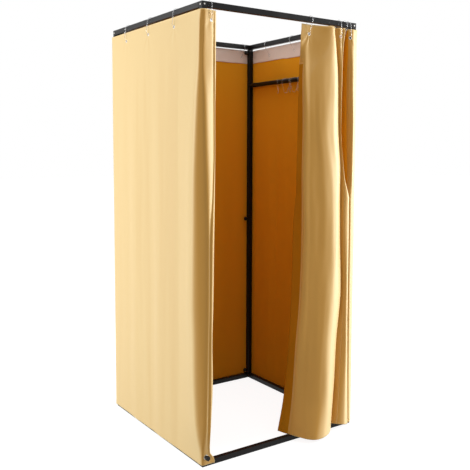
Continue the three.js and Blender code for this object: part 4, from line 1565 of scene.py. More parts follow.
@dataclass
class WallCurtains:
    """Three walls of satin: the left one wraps the front left corner, the right one the front right."""

    plan: RoomPlan
    rings: PearRings
    columns: int = 120
    rows: int = 70
    header: float = 0.024
    hem: float = 0.014
    ring_shares: dict[SideName, tuple[float, ...]] = field(default_factory=lambda: {
        SideName.LEFT: (0.26, 0.54, 0.81),
        SideName.BACK: (0.076, 0.346, 0.616, 0.886),
        SideName.RIGHT: (0.285, 0.539, 0.792),
    })
    wrap_ring: float = 0.044
    wrap_ring_out: float = -0.004
    free_columns: int = 4
    eased: tuple[int, int] = (14, 43)
    ease_passes: int = 20
    eased_below: tuple[float, float] = (0.02, 0.2)
    corner_end: float = 0.190
    back_inset: float = 0.0018
    pucker: tuple[float, float, int] = (0.0012, 0.05, 7)
    uneven_below: tuple[float, float] = (0.03, 0.3)
    wide_bumps: tuple[float, float] = (0.09, 0.9)
    fine_bumps: tuple[float, float] = (0.035, 0.35)
    fine_share: float = 0.4
    left_depth: float = 0.0012
    back_depth: float = 0.001

    def heights(self, rows: np.ndarray) -> np.ndarray:
        """Heights above the floor of a wall's rows."""
        return self.plan.cloth_top - rows * (self.plan.cloth_top - self.plan.wall_hem)

    def wall_plan(self, name: SideName, shape: WallShape, start: float, end: float,
                  rows: np.ndarray) -> np.ndarray:
        """The grid of a flat wall with its waves.

        Args:
            name: which side.
            shape: its waves.
            start: where it starts along the side.
            end: where it ends.
            rows: heights, as shares of the drop.

        Returns:
            A grid of points.
        """
        shares = np.linspace(0, 1, self.columns + 1)
        out = shape.out(shares, rows)
        distances = start + shares * (end - start)
        return np.array([[self.plan.point(name, d, o, z) for d, o in zip(distances, line)]
                         for z, line in zip(self.heights(rows), out)])

    def corner_arc(self, rows: np.ndarray) -> np.ndarray:
        """The rounded turn of the cloth at the front right corner, from the front to the right wall."""
        radius = self.plan.corner_radius
        reach = self.plan.cloth_offset
        x = self.plan.right + reach - radius
        y = self.plan.front - reach + radius
        angles = np.linspace(0, math.pi / 2, 6)
        return np.array([[(x + radius * math.sin(angle), y - radius * math.cos(angle), z) for angle in angles]
                         for z in self.heights(rows)])

    def eyelet_matrix(self, surface: ClothSurface, point: Vector) -> Matrix:
        """The placement of an eyelet on the cloth nearest to a point, along the cloth's own normal."""
        row, column = surface.nearest(point)
        normal = Vector(surface.normals()[row, column])
        nearest = Vector(surface.grid[row, column])
        flat = point + normal * (nearest - point).dot(normal)
        return pointing(normal, flat)

    def finish_sheet(self, surface: ClothSurface, name: str, nodes: Sequence[str], points: Sequence[Vector],
                     shelf: FinishShelf, lined: bool,
                     extra: Sequence[tuple[Matrix, float]] = ()) -> bpy.types.Object:
        """Args:
            surface: the cloth.
            name: the piece's name.
            nodes: the CAD nodes that it stands for.
            points: where its eyelets are.
            shelf: the finishes.
            lined: whether a lining lies between the cloth and the eyelets' inner rims.
            extra: other eyelets, each with a placement and a scale.

        Returns:
            The sheet.
        """
        piece = surface.piece(name, [shelf.satin, shelf.satin_back])
        matrices = [(self.eyelet_matrix(surface, point), 1.0) for point in points] + list(extra)
        punch(piece, [matrix for matrix, _ in matrices], Eyelets.hole)
        eyelets = [Eyelets().make(f"eyelet_{name}_{number}", matrix, FRAME_BODY, shelf, scale, lined)
                   for number, (matrix, scale) in enumerate(matrices, 1)]
        declare(piece, FRAME_BODY, "gold_satin", *nodes)
        return piece

    def detail(self, surface: ClothSurface, rows: np.ndarray, seed: float, depth: float,
               eyelets: Sequence[Vector]) -> None:
        """Adds the stitched edges, soft unevenness and puckers of a wall sheet.

        Args:
            surface: the cloth.
            rows: heights, as shares of the drop.
            seed: which noise.
            depth: how deep the unevenness is.
            eyelets: where the eyelets are.
        """
        drop = self.plan.cloth_top - self.plan.wall_hem
        places = surface.flat_places()
        u, v = places[:, :, 0], places[:, :, 1]
        fade = smooth_step(v, *self.uneven_below)
        height = depth * fade * soft_noise(u, v, *self.wide_bumps, seed)
        height += self.fine_share * depth * fade * soft_noise(u, v, *self.fine_bumps, seed + 5)
        height += stitched_edge(rows, drop, self.header, self.hem)[:, None]
        for point in eyelets:
            row, column = surface.nearest(point)
            centre = (u[row, column], v[row, column])
            height += eyelet_pucker(u, v, centre, *self.pucker, 0.0)
        surface.displace(height)

    def build(self, shelf: FinishShelf) -> None:
        """Makes the left wall with its wrap and the back wall.

        Args:
            shelf: the finishes.
        """
        self.build_left(shelf)
        self.build_back(shelf)

    def build_left(self, shelf: FinishShelf) -> None:
        """Makes the left wall, its turn round the corner post and its wrap."""
        rows = row_grid(self.rows)
        end = self.plan.side(SideName.LEFT).run + self.plan.cloth_offset
        wall = self.wall_plan(SideName.LEFT, WallShape(), 0.0, end, rows)
        first = int(np.argmax(wall[0, :, 1] - self.plan.front > self.corner_end))
        heights = np.array([row[0] for row in CORNER_ROWS]) / 1000
        shares = (self.plan.cloth_top - heights) / (self.plan.cloth_top - self.plan.wall_hem)
        table = between_rows(shares, np.array([row[1] for row in CORNER_ROWS]) / 1000, rows)
        corner = []
        for line, kept, z in zip(table, wall, self.heights(rows)):
            guide = np.concatenate([line + (self.plan.left, self.plan.front), kept[first : first + 2, :2]])
            curve = curve_through(guide, [self.free_columns] * (len(guide) - 1))[: -self.free_columns - 1]
            corner.append([(x, y, z) for x, y in curve])
        turn = np.array(corner)
        amount = smooth_step(rows, *self.eased_below)[:, None, None] / 4
        ease_columns(turn, *self.eased, self.ease_passes, amount)
        grid = np.concatenate([turn, wall[:, first:]], axis=1)
        surface = ClothSurface(grid, outward=1)
        height = self.rings.eyelet_height()
        points = [self.plan.point(SideName.LEFT, share * self.plan.side(SideName.LEFT).run, 0, height)
                  for share in self.ring_shares[SideName.LEFT]]
        points.append(self.plan.point(SideName.FRONT, self.wrap_ring, self.wrap_ring_out,
                                      self.rings.eyelet_height(self.wrap_ring_out)))
        self.detail(surface, rows, 3.0, self.left_depth, points)
        low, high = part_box("knob_front_left_bottom")
        middle = (low + high) / 2
        grommet = pointing(Vector((0, -1, 0)), Vector((middle.x, self.plan.front - self.plan.cloth_offset,
                                                       middle.z)))
        self.finish_sheet(surface, "left_wall_curtain", ["curtain_left"], points, shelf,
                          False, [(grommet, 1.5)])

    def build_back(self, shelf: FinishShelf) -> None:
        """Makes the back wall."""
        rows = row_grid(self.rows)
        run = self.plan.side(SideName.BACK).run
        start = self.back_inset - self.plan.cloth_offset
        grid = self.wall_plan(SideName.BACK, WallShape(), start, run - start, rows)
        surface = ClothSurface(grid, outward=-1)
        height = self.rings.eyelet_height()
        points = [self.plan.point(SideName.BACK, share * run, 0, height)
                  for share in self.ring_shares[SideName.BACK]]
        self.detail(surface, rows, 11.0, self.back_depth, points)
        self.finish_sheet(surface, "back_wall_curtain", ["curtain_back"], points, shelf,
                          True)


# The lower part of the doorway curtain's third fold, in the form of the rows below
LOW_THIRD_FOLD = ((391, -62), (396, -48), (399.5, -38), (401.5, -33), (403, -32), (404.5, -33), (405.5, -38),
                  (405.7, -48), (405.5, -62))

# The doorway curtain in plan, in millimetres: each row is a height and four runs of points, for the leading
# panel, two folds and the end pleat. A point is x from the middle of the room and out from the cloth's plane
FOLD_ROWS = (
    (1966,
     ((105, -16.5), (119, -16.5), (136, -16.5), (155.8, -16.5), (195, -13), (232, -3), (262, 6), (280, 7),
      (299, 2), (306, -14)),
     ((316, -8), (325, 0), (334.4, 1), (345, 0), (357.5, 4.5), (361.5, 0), (360, -10), (358.5, -36),
      (358.5, -62)),
     ((363, -62), (363, -38), (364, -26), (367, -21), (372.2, -20), (377, -21), (380.5, -26), (381.5, -38),
      (382, -62)),
     ((385.5, -62), (385.5, -34), (385.5, -12), (388, -2), (396, 1.5), (401, 4), (406, 5.5), (415, 5),
      (427, 2.5), (438, 0))),
    (1878,
     ((102, -18), (115, -17), (132, -16), (156, -15), (196, -7), (235, 3), (268, 10), (288, 7.5), (312, 3),
      (318, -16)),
     ((322, -12), (328, -2), (335, 1), (343, 1), (351, 3), (355, -2), (355.5, -12), (356.5, -36),
      (357.5, -62)),
     ((362.5, -62), (362.5, -44), (364, -32), (367, -26), (372.5, -25), (378, -26), (381.5, -31),
      (383, -42), (383, -62)),
     ((386.5, -62), (386.5, -34), (387, -12), (389.5, -2), (396, 3), (401, 5.5), (406, 6.5), (415, 6),
      (427, 3), (438, 0))),
    (1732,
     ((114.5, -42), (113.5, -22), (114, -6), (148, -1), (185, 6.5), (222, 13), (256.5, 17), (288, 12),
      (328, 5), (336, -20)),
     ((337, -16), (338, -6), (340, 1), (343, 3), (346, 2), (347.5, -5), (349, -18), (352, -38), (355, -62)),
     ((361.5, -62), (364, -57), (368, -53), (374, -51), (380, -51), (385, -52), (387, -54), (387.5, -54),
      (387, -62)),
     ((390.5, -62), (391, -46), (392.5, -28), (396, -14), (401, -3), (405, 3), (409, 6.5), (416, 6.5),
      (427, 3.5), (438, 0))),
    (1498,
     ((116, -50), (116.5, -26), (119, -6), (150, 3), (182, 10.5), (213, 18.5), (240, 24), (278, 18),
      (330, 7), (341, -18)),
     ((342.5, -16), (343.5, -6), (345, 0), (346.5, 1), (348, -2), (349.5, -10), (351, -24), (353, -42),
      (355.5, -62)),
     ((361, -62), (363, -58), (367, -55), (373, -54), (380, -53), (387, -53), (392, -55), (394, -53),
      (394, -62)),
     ((397.5, -62), (398, -46), (400, -30), (403.5, -18), (407.5, -8), (411, 0), (415, 5.5), (420, 6.5),
      (428, 4), (438, 0))),
    (1264,
     ((112, -50), (114, -26), (118, -6), (152, 4), (190, 13), (228, 21.5), (263.5, 27), (298, 20.5),
      (345, 9), (358, -14)),
     ((359, -10), (360.5, -3), (363, 3), (366.5, 4), (369.5, 2), (371, -8), (370, -24), (366, -42),
      (363, -62)),
     ((368, -62), (371, -56), (375, -52), (380, -50), (386, -49), (391, -50), (395, -53), (397, -53),
      (397, -62)),
     ((400.5, -62), (401, -44), (403, -24), (405.5, -13), (408.5, -4), (411.5, 3), (415, 6.5), (421, 6.5),
      (429, 3.5), (438, 0))),
    (1147,
     ((118.5, -64), (119, -32), (122, -6), (155, 4), (195, 13), (233, 22), (267.5, 28), (300, 22),
      (343, 10.5), (358, -12)),
     ((360, -9), (364, 0), (370, 8), (386, 10.5), (394, 9), (400.5, 6.5), (402, 0), (395, -38), (384, -62)),
     ((388, -62), (393, -48), (397, -38), (399, -33), (400.5, -32), (402, -33), (403, -38), (403, -48),
      (402.5, -62)),
     ((404.5, -62), (405, -44), (404.6, -26), (403.6, -4), (404.8, 5), (408.5, 7.4), (415, 7), (424, 5),
      (431, 3), (438, 0))),
    (990,
     ((118.3, -80), (121, -40), (127, -6), (155, 4), (195, 14), (237, 24), (274, 30), (303, 24.5),
      (341, 13), (356, -8)),
     ((361, -9), (364, -1), (369, 8), (386, 11), (395, 9.5), (401.5, 7), (403, 0), (397, -38), (386, -62)),
     ((390, -62), (395, -48), (398.5, -38), (400.5, -33), (402, -32), (403.5, -33), (404.2, -38),
      (404.2, -48), (404, -62)),
     ((406, -62), (406, -44), (405.5, -26), (404.6, -4), (405.8, 5), (409.5, 7.2), (416, 6.6), (425, 4.6),
      (432, 2.6), (438, 0))),
    (700,
     ((111, -80), (113, -40), (118, -6), (150, 8), (190, 20), (226, 31), (258, 37), (296, 30), (348, 14),
      (366, -10)),
     ((370, -18), (374, -8), (380, 4), (387, 9.5), (396, 9), (402.5, 6), (404, 0), (398, -38), (387, -62)),
     LOW_THIRD_FOLD,
     ((407.5, -62), (407.5, -44), (407, -26), (405.6, -4), (406.8, 4.4), (410.5, 6.5), (417, 6.1),
      (425, 4.4), (432, 2.6), (438, 0))),
    (444,
     ((88.6, -68), (90, -36), (95, -6), (132, 14), (168, 30), (202, 43), (231, 49), (268, 40), (318, 22),
      (336, -4)),
     ((346, -18), (356, -8), (368, 4), (387, 14), (396, 12.5), (402.5, 9), (404.2, 1), (398, -38),
      (387, -62)),
     LOW_THIRD_FOLD,
     ((407.5, -62), (407.5, -44), (407, -26), (405.8, -2), (407, 7), (411, 9.6), (417.5, 8.8),
      (425.5, 6.2), (432.5, 3.4), (438, 0))),
    (200,
     ((72.6, -80), (74, -40), (79, -6), (112, 22), (146, 43), (178, 59), (206, 66), (250, 56), (295, 33),
      (318, 2)),
     ((325, -4), (331, 6), (342, 20), (372, 29), (389, 22.5), (401.5, 15.5), (404, 3), (397, -36),
      (386, -62)),
     LOW_THIRD_FOLD,
     ((407.5, -62), (407.5, -44), (407, -24), (405.6, 2), (407, 12), (411.5, 14.4), (418, 12.4),
      (426, 8.4), (433, 4.4), (438, 0))),
    (15,
     ((36, -80), (44, -40), (56, -4), (88, 50), (112, 76), (136, 88), (165, 90), (220, 78), (265, 50),
      (284, 20)),
     ((296, 0), (306, 14), (320, 30), (358, 39), (379, 32.5), (400, 22.5), (403.4, 5), (395, -34),
      (384, -62)),
     LOW_THIRD_FOLD,
     ((407.5, -62), (407.5, -44), (407, -22), (405.4, 4), (407, 16.5), (412, 18.6), (419, 15.8),
      (427, 10.6), (433.5, 5.6), (438, 0))),
)

# Height of the hem at each of these points, in millimetres
FOLD_HEMS = (
    (27, 28, 28, 22, 18, 16, 15, 16, 22, 29),
    (31, 33, 33, 25, 19, 20, 24, 28, 28),
    (28, 28, 28, 28, 28, 28, 28, 28, 28),
    (28, 28, 28, 24, 18, 15, 15, 15, 15, 15),
)


@dataclass(frozen=True)
class DoorRing:
    """A ring of the doorway: its node, its body, its place from the middle and its foot's reach."""

    node: str
    body: str
    x: float
    out: float
    sideways: float = 0.0


DOOR_RINGS = {
    "lead": DoorRing("door_ring_lead", "door_lead", 0.1558, -0.0165, -0.0054),
    "second": DoorRing("door_ring_second", "door_second", 0.3344, 0.001),
    "third": DoorRing("door_ring_third", "door_third", 0.3722, -0.020),
    "end": DoorRing("ring_end", FRAME_BODY, 0.396, 0.001),
}


@dataclass
class DoorwayCurtain:
    """The doorway curtain and the right wall, one run of satin from the free edge round the corner.
    """

    plan: RoomPlan
    rings: PearRings
    walls: WallCurtains
    steps: tuple[int, int, int, int] = (9, 5, 5, 5)
    seam_steps: int = 3
    turn_out: float = -0.086
    still_depth: float = 0.045
    # Painted shade: the free edge's strip up to a height takes a darker finish, and the third fold's pocket
    # above a height takes the satin's back finish.
    shaded_edge_columns: int = 14
    shaded_edge_high: float = 1.80
    shaded_pocket_columns: int = 14
    shaded_pocket_low: float = 1.16
    eased: tuple[int, int] = (30, 79)
    ease_passes: int = 80
    arc_columns: int = 30
    loose_columns: int = 30
    uneven_below: tuple[float, float] = (0.05, 0.35)
    uneven_depth: float = 0.0010
    wide_bumps: tuple[float, float, float] = (0.06, 0.55, 21.0)
    fine_bumps: tuple[float, float, float] = (0.03, 0.2, 31.0)
    fine_share: float = 0.5
    right_swell: float = 0.004
    first_pucker: float = 0.0034
    other_pucker: float = 0.0010
    pucker_reach: float = 0.06
    pucker_rays: int = 9
    first_lean: float = -1.1
    top_rise: float = 0.010
    top_rise_out: float = 0.008
    rows: int = 84

    def table(self) -> tuple[np.ndarray, list[int], dict[str, int]]:
        """The whole curtain's plan and hem at each table row.

        Returns:
            The table with x, out and the hem's height for each point, the steps of each stretch and the
            number of the table column at each seam.
        """
        counts: list[int] = []
        seams: dict[str, int] = {}
        columns: list[np.ndarray] = []
        total = 0
        parts = []
        for number, hem in enumerate(FOLD_HEMS, 1):
            plan = np.array([row[number] for row in FOLD_ROWS])
            heights = np.broadcast_to(np.array(hem)[None, :, None], (*plan.shape[:2], 1))
            parts.append(np.concatenate([plan, heights], axis=2) / 1000)
        for number, (name, part) in enumerate(zip(DOOR_RINGS, parts)):
            seams[name] = total
            columns.append(part)
            total += part.shape[1]
            counts += [self.steps[number]] * (part.shape[1] - 1)
            if 0 < number < len(parts) - 1:
                turn = (part[:, -1:] + parts[number + 1][:, :1]) / 2
                turn[:, :, 1] = self.turn_out
                seams[f"turn_{name}"] = total
                columns.append(turn)
                total += 1
                counts += [self.seam_steps]
            if number < len(parts) - 1:
                counts += [self.seam_steps]
        return np.concatenate(columns, axis=1), counts, seams

    def surface(self) -> tuple[ClothSurface, np.ndarray, dict[str, int]]:
        """The curtain and the right wall as one surface.

        Returns:
            The surface, its rows' shares of the drop and the grid column of each seam.
        """
        table, counts, seams = self.table()
        rows = row_grid(self.rows)
        heights = np.array([row[0] for row in FOLD_ROWS])
        shares = between_rows((heights[0] - heights) / (heights[0] - heights[-1]), table, rows)
        plans = np.array([curve_through(row, counts) for row in shares])
        ease_columns(plans, *self.eased, self.ease_passes)
        hem = plans[-1, :, 2]
        rise = self.top_rise * smooth_step(plans[0, :, 1], 0.0, self.top_rise_out)
        rise *= smooth_step(-plans[0, :, 0], -self.plan.post(Corner.FRONT_RIGHT)[0], 0.0)
        tops = self.plan.cloth_top + rise
        middle = (self.plan.right - self.plan.left) / 2
        front = np.array([[self.plan.point(SideName.FRONT, middle + x, out, top - share * (top - low))
                           for (x, out, _), top, low in zip(line, tops, hem)]
                          for line, share in zip(plans, rows)])
        start = self.plan.corner_radius - self.plan.cloth_offset
        end = self.plan.side(SideName.RIGHT).run + self.plan.cloth_offset
        wall = self.walls.wall_plan(SideName.RIGHT, WallShape(swell=self.right_swell), start, end, rows)
        both = np.concatenate([self.walls.corner_arc(rows), wall[:, 1:]], axis=1)
        count = self.arc_columns
        fade = 1 - smooth_step(np.arange(count), 0, count - 1)[None, :]
        both[:, :count, 2] += (hem[-1] - self.plan.wall_hem) * fade * rows[:, None]
        grid = np.concatenate([front[:, :-1], both], axis=1)
        places = np.concatenate([[0], np.cumsum(counts)])
        found = {name: int(places[column]) for name, column in seams.items()}
        # Painted shade on the free edge's strip and on the pocket of the third fold.
        turned = (PaintedShadePart(0, self.shaded_edge_columns, 0.0, self.shaded_edge_high, 2),
                  PaintedShadePart(found["third"] - self.seam_steps, found["end"] + self.shaded_pocket_columns,
                             self.shaded_pocket_low, self.plan.cloth_top))
        return ClothSurface(grid, outward=-1, turned=turned), rows, found

    def ring_column(self, surface: ClothSurface, name: str) -> int:
        """The grid column under a ring, found in the header."""
        place = np.array(self.door_point(DOOR_RINGS[name], 0.0))[:2]
        return int(np.linalg.norm(surface.grid[0, :, :2] - place, axis=1).argmin())

    def door_point(self, ring: "DoorRing", sideways: float) -> Vector:
        """A point of the cloth at an eyelet's height under a ring."""
        distance = (self.plan.right - self.plan.left) / 2 + ring.x + sideways
        return self.plan.point(SideName.FRONT, distance, ring.out,
                               self.rings.eyelet_height(ring.out, ring.sideways))

    def detail(self, surface: ClothSurface, rows: np.ndarray, points: Sequence[Vector],
               corner_column: int) -> None:
        """Adds the stitched edges, creases and soft unevenness.

        Args:
            surface: the cloth.
            rows: heights, as shares of the drop.
            points: where the eyelets are, from the free edge.
            corner_column: where the right wall starts.
        """
        drop = self.plan.cloth_top - min(FOLD_HEMS[0]) / 1000
        places = surface.flat_places()
        u, v = places[:, :, 0], places[:, :, 1]
        columns = np.arange(u.shape[1])[None, :]
        loose = 1 - smooth_step(columns, corner_column - self.loose_columns, corner_column)
        fade = smooth_step(v, *self.uneven_below)
        depth = self.uneven_depth + self.uneven_depth * loose
        height = depth * fade * soft_noise(u, v, *self.wide_bumps)
        height += self.fine_share * depth * fade * soft_noise(u, v, *self.fine_bumps)
        height += stitched_edge(rows, drop, self.walls.header, self.walls.hem)[:, None]
        for number, point in enumerate(points):
            row, column = surface.nearest(point)
            centre = (u[row, column], v[row, column])
            lean = self.first_lean if number == 0 else 0.0
            strength = self.first_pucker if number == 0 else self.other_pucker
            height += eyelet_pucker(u, v, centre, strength, self.pucker_reach, self.pucker_rays, lean)
        surface.displace(height)

    def build(self, shelf: FinishShelf) -> None:
        """Makes the sheets and their eyelets.

        Args:
            shelf: the finishes.
        """
        surface, rows, seams = self.surface()
        eyelets = {name: self.door_point(ring, ring.sideways) for name, ring in DOOR_RINGS.items()}
        right_run = self.plan.side(SideName.RIGHT).run
        wall_points = [self.plan.point(SideName.RIGHT, share * right_run, 0, self.rings.eyelet_height())
                       for share in self.walls.ring_shares[SideName.RIGHT]]
        corner_column = seams["end"] + self.steps[-1] * (len(FOLD_HEMS[-1]) - 1)
        self.detail(surface, rows, [*eyelets.values(), *wall_points], corner_column)
        columns = {name: self.ring_column(surface, name) for name in DOOR_RINGS}
        spans = self.spans(seams, columns)
        for span in spans:
            self.make_span(surface, span, eyelets, wall_points, shelf)

    def spans(self, seams: dict[str, int], columns: dict[str, int]) -> list["ClothSpan"]:
        """Where the run of cloth is divided, and the bodies at the ends of each part.

        Args:
            seams: grid columns of the folds' turns.
            columns: grid columns of the rings.

        Returns:
            The spans from the free edge to the right wall.
        """
        return [
            ClothSpan("leading", 0, columns["second"], ("lead",), ("door_curtain_lead",),
                      "door_lead", "door_second", BlendWay.ACROSS),
            ClothSpan("second_outer", columns["second"], seams["turn_second"], ("second",),
                      ("door_curtain_second",), "door_second", "door_third", BlendWay.INWARD),
            ClothSpan("second_inner", seams["turn_second"], columns["third"], (), (),
                      "door_second", "door_third", BlendWay.OUTWARD),
            ClothSpan("third_outer", columns["third"], seams["turn_third"], ("third",),
                      ("door_curtain_third",), "door_third", FRAME_BODY, BlendWay.INWARD),
            ClothSpan("third_inner", seams["turn_third"], columns["end"], (), (),
                      "door_third", FRAME_BODY, BlendWay.OUTWARD),
            ClothSpan("right_wall", columns["end"], None, ("end",), ("curtain_right",), FRAME_BODY,
                      FRAME_BODY, BlendWay.NONE),
        ]

    def make_span(self, surface: ClothSurface, span: "ClothSpan", eyelets: dict[str, Vector],
                  wall_points: Sequence[Vector], shelf: FinishShelf) -> None:
        """Makes one part of the run of cloth.

        Args:
            surface: the whole run.
            span: which part.
            eyelets: where the doorway's eyelets are.
            wall_points: where the right wall's eyelets are.
            shelf: the finishes.
        """
        end = None if span.end is None else span.end + 1
        name = f"doorway_curtain_{span.name}" if span.way is not BlendWay.NONE else "right_wall_curtain"
        finishes = [shelf.satin, shelf.satin_back]
        # The leading span also takes the darker finish of the free edge's painted shade.
        if span.start == 0:
            finishes.append(shelf.satin_painted_edge_shade)
        piece = surface.piece(name, finishes, span.start, end)
        points = [eyelets[ring] for ring in span.rings]
        riders = [DOOR_RINGS[ring].body for ring in span.rings]
        if span.way is BlendWay.NONE:
            points += list(wall_points)
            riders += [FRAME_BODY] * len(wall_points)
        matrices = [self.walls.eyelet_matrix(surface, point) for point in points]
        every = [self.walls.eyelet_matrix(surface, point) for point in eyelets.values()]
        punch(piece, [*every, *matrices[len(span.rings):]], Eyelets.hole)
        rims = [Eyelets().make(f"eyelet_{name}_{number}", matrix, rider, shelf,
                               lined=number > len(span.rings))
                for number, (matrix, rider) in enumerate(zip(matrices, riders), 1)]
        self.attach(piece, surface, span)
        if span.nodes:
            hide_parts(*span.nodes)

    def attach(self, piece: bpy.types.Object, surface: ClothSurface, span: "ClothSpan") -> None:
        """Lets the right wall ride on its body and bakes the other parts' placement into their mesh.

        Args:
            piece: the sheet.
            surface: the whole run.
            span: which part.
        """
        if span.way is BlendWay.NONE:
            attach(piece, span.first)
            return
        if span.way is BlendWay.ACROSS:
            ring = self.ring_column(surface, "lead")
            top, foot = Vector(surface.grid[0, ring]), Vector(surface.grid[-1, ring])
            start, end = self.slanted(top, foot, Vector(surface.grid[0, span.end]))
        else:
            start = self.plan.point(SideName.FRONT, 0.0, -self.still_depth, 0.0)
            end = self.plan.point(SideName.FRONT, 0.0, self.still_depth + 2 * self.turn_out, 0.0)
            if span.way is BlendWay.OUTWARD:
                start, end = end, start
        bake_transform(piece)

    def slanted(self, top: Vector, foot: Vector, end: Vector) -> tuple[Vector, Vector]:
        """Blend points whose even lines follow a slanted column.

        Args:
            top: the column's top.
            foot: the column's foot.
            end: where the blend ends.

        Returns:
            Its start and its end.
        """
        down = (foot - top).normalized()
        across = Vector((1, 0, 0)) - down * down.x
        across.normalize()
        return top, top + across * (end - top).dot(across)


class BlendWay(Enum):
    """How a part of the doorway curtain passes from one body to the next."""

    NONE = "rides on one body"
    ACROSS = "bends along the front"
    INWARD = "bends down one side of a fold"
    OUTWARD = "bends up the other side of a fold"


@dataclass(frozen=True)
class ClothSpan:
    """A part of the doorway's run of cloth between two grid columns."""

    name: str
    start: int
    end: int | None
    rings: tuple[str, ...]
    nodes: tuple[str, ...]
    first: str
    second: str
    way: BlendWay


@dataclass
class HeaderLining:
    """Pale lining stitched inside the header of each wall."""

    plan: RoomPlan
    tops: dict[SideName, float] = field(default_factory=lambda: {
        SideName.LEFT: 0.001, SideName.BACK: 0.005, SideName.RIGHT: 0.002})
    depth: float = 0.078
    thickness: float = 0.0008
    inset: float = 0.0019
    end_gap: float = 0.012
    unevenness: float = 0.002
    uneven_rate: float = 9.0
    step: float = 0.004
    step_range: tuple[float, float] = (0.62, 0.66)
    columns: int = 90
    rows: int = 14

    def build(self, shelf: FinishShelf) -> None:
        """Makes a strip for each wall.

        Args:
            shelf: the finishes.
        """
        for seed, name in enumerate((SideName.LEFT, SideName.BACK, SideName.RIGHT)):
            run = self.plan.side(name).run
            shares = np.linspace(0, 1, self.columns)
            drops = np.linspace(0, 1, self.rows)
            grid = []
            for drop in drops:
                line = []
                for share in shares:
                    distance = self.end_gap + share * (run - 2 * self.end_gap)
                    place = Vector((share * self.uneven_rate, drop, seed * 7.0))
                    uneven = self.unevenness * noise.noise(place)
                    step = self.step * smooth_step(share, *self.step_range) if name is SideName.RIGHT else 0.0
                    z = self.plan.cloth_top + self.tops[name] - drop * (self.depth + uneven - step)
                    line.append(self.plan.point(name, distance, -self.inset, z))
                grid.append(line)
            outward = 1 if name is SideName.LEFT else -1
            surface = ClothSurface(np.array(grid), outward=outward, thickness=self.thickness,
                                   faces_in=0)
            piece = surface.piece(f"header_lining_{name.value}", [shelf.lining])
            declare(piece, FRAME_BODY, "pale_lining")


# Studio


@dataclass(frozen=True)
class SoftLamp:
    """A soft box: its place, what it looks at, its size and its strength."""

    name: str
    place: tuple[float, float, float]
    aim: tuple[float, float, float]
    width: float
    height: float
    watts: float
    colour: Colour = (1.0, 1.0, 1.0)

    def build(self) -> None:
        """Makes the lamp."""
        data = bpy.data.lights.new(self.name, "AREA")
        data.shape = "RECTANGLE"
        data.size = self.width
        data.size_y = self.height
        data.energy = self.watts
        data.color = self.colour
        lamp = bpy.data.objects.new(self.name, data)
        bpy.context.scene.collection.objects.link(lamp)
        place = Vector(self.place)
        turn = (Vector(self.aim) - place).to_track_quat("-Z", "Y")
        lamp.location = place
        lamp.rotation_mode = "QUATERNION"
        lamp.rotation_quaternion = turn


@dataclass
class Studio:
    """Pale floor, white surroundings and soft lamps."""

    plan: RoomPlan
    floor_side: float = 60.0
    world_strength: float = 0.60
    floor_colour: Colour = (0.28, 0.28, 0.28)
    floor_glow: float = 0.88
    floor_drop: float = 0.0005
    lamps: tuple[SoftLamp, ...] = (
        SoftLamp("left_soft_box", (-3.28, 2.34, 1.7), (0.0, 0.04, 1.3), 0.9, 3.2, 99.0),
        SoftLamp("right_soft_box", (3.7, -1.46, 1.7), (0.0, 0.04, 1.3), 1.9, 3.2, 180.0),
        SoftLamp("top_soft_box", (0.0, 0.0, 4.6), (0.0, 0.0, 0.0), 2.0, 2.0, 38.0),
    )

    def build(self) -> None:
        """Makes the floor, the world and the lamps."""
        self.floor()
        self.world()
        for lamp in self.lamps:
            lamp.build()
        scene = bpy.context.scene
        scene.view_settings.view_transform = "Standard"
        log.info("studio with %d lamps", len(self.lamps))

    def seen_directly(self, book: NodeBook) -> bpy.types.NodeSocket:
        """1 for the rays that show the background: from the camera, in a reflection or through glass."""
        path = book.add("ShaderNodeLightPath").outputs
        either = book.maths("MAXIMUM", path["Is Camera Ray"], path["Is Glossy Ray"])
        return book.maths("MAXIMUM", either, path["Is Transmission Ray"])

    def floor(self) -> None:
        """A large pale floor that keeps a faint shadow."""
        draft = Draft()
        half = self.floor_side / 2
        corners = np.array(((-half, -half, 0), (half, -half, 0), (half, half, 0), (-half, half, 0)), float)
        first = draft.add_points(corners)
        draft.add_face(range(first, first + 4))
        material = bpy.data.materials.new("studio_floor")
        book = fresh_nodes(material)
        pale = book.add("ShaderNodeBsdfDiffuse", {"Color": opaque(self.floor_colour)})
        glow = book.maths("MULTIPLY", self.seen_directly(book), self.floor_glow)
        white = book.add("ShaderNodeEmission", {"Color": opaque((1.0, 1.0, 1.0)), "Strength": glow})
        both = book.add("ShaderNodeAddShader", {0: pale.outputs[0], 1: white.outputs[0]})
        book.add("ShaderNodeOutputMaterial", {"Surface": both.outputs[0]})
        floor = draft.build("studio_floor", [material])
        floor.location.z = -self.floor_drop

    def world(self) -> None:
        """A white world that lights softly."""
        world = bpy.data.worlds.new("white_studio")
        book = fresh_nodes(world)
        strength = book.ranged(self.seen_directly(book), 0.0, 1.0, start=self.world_strength)
        shade = book.add("ShaderNodeBackground", {"Color": opaque((1.0, 1.0, 1.0)), "Strength": strength})
        book.add("ShaderNodeOutputWorld", {"Surface": shade.outputs[0]})
        bpy.context.scene.world = world


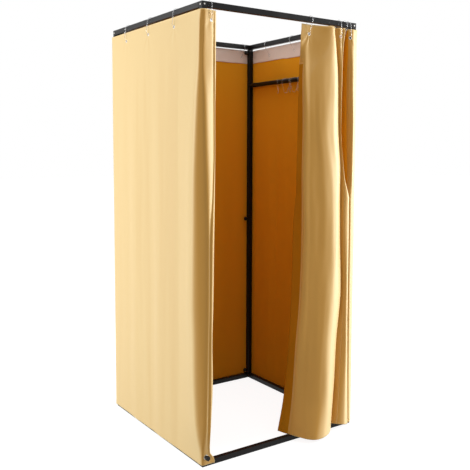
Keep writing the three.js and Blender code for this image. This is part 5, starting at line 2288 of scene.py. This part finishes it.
@dataclass
class PhotoCamera:
    """Camera at the photograph's place, found from eight corners of the frame."""

    plan: RoomPlan
    place: tuple[float, float, float] = (-1.93577, -2.87212, 1.37897)
    yaw: float = 0.60012
    pitch: float = -0.08238
    roll: float = 0.00292
    focal_pixels: float = 676.161
    centre_pixel: tuple[float, float] = (235.0, 207.0)
    sensor: float = 36.0

    def build(self) -> None:
        """Makes the camera."""
        level = math.cos(self.pitch)
        forward = Vector((math.sin(self.yaw) * level, math.cos(self.yaw) * level, math.sin(self.pitch)))
        right = Vector((math.cos(self.yaw), -math.sin(self.yaw), 0.0))
        up = right.cross(forward)
        turned_right = math.cos(self.roll) * right + math.sin(self.roll) * up
        turned_up = -math.sin(self.roll) * right + math.cos(self.roll) * up
        data = bpy.data.cameras.new("photo_camera")
        data.sensor_width = self.sensor
        data.lens = self.focal_pixels / PHOTO_SIDE * self.sensor
        data.shift_x = (PHOTO_SIDE / 2 - self.centre_pixel[0]) / PHOTO_SIDE
        data.shift_y = (self.centre_pixel[1] - PHOTO_SIDE / 2) / PHOTO_SIDE
        camera = bpy.data.objects.new("photo_camera", data)
        bpy.context.scene.collection.objects.link(camera)
        turn = Matrix((turned_right, turned_up, -forward)).transposed()
        middle = Vector((0, (self.plan.front + self.plan.back) / 2, 0))
        camera.matrix_world = Matrix.Translation(Vector(self.place) + middle) @ turn.to_4x4()
        bpy.context.scene.camera = camera
        log.info("camera at the photograph's place")


def ring_places(plan: RoomPlan, walls: WallCurtains) -> list[RingPlace]:
    """Every ring over a rail.

    Args:
        plan: the room's plan.
        walls: the walls, which say where their rings are.

    Returns:
        The rings' places.
    """
    middle = (plan.right - plan.left) / 2
    places = [RingPlace("ring_wrap", SideName.FRONT, walls.wrap_ring, walls.wrap_ring_out)]
    places += [RingPlace(ring.node, SideName.FRONT, middle + ring.x, ring.out, ring.sideways, ring.body)
               for ring in DOOR_RINGS.values()]
    for name, shares in walls.ring_shares.items():
        for number, share in enumerate(shares, 1):
            places.append(RingPlace(f"ring_{name.value}_{number}", name, share * plan.side(name).run))
    return places


def main() -> None:
    """Builds the room in order."""
    logging.basicConfig(level=logging.INFO, format="%(message)s")
    plan = RoomPlan.from_cad()
    PhotoCamera(plan).build()
    Studio(plan).build()
    shelf = FinishShelf()
    FrameTubes(plan).build(shelf)
    CornerConnectors(plan).build(shelf)
    HandKnobs(plan).build(shelf)
    GarmentBar(plan).build(shelf)
    rings = PearRings(plan)
    walls = WallCurtains(plan, rings)
    doorway = DoorwayCurtain(plan, rings, walls)
    rings.build(ring_places(plan, walls), shelf)
    walls.build(shelf)
    doorway.build(shelf)
    HeaderLining(plan).build(shelf)


if __name__ == "__main__":
    main()
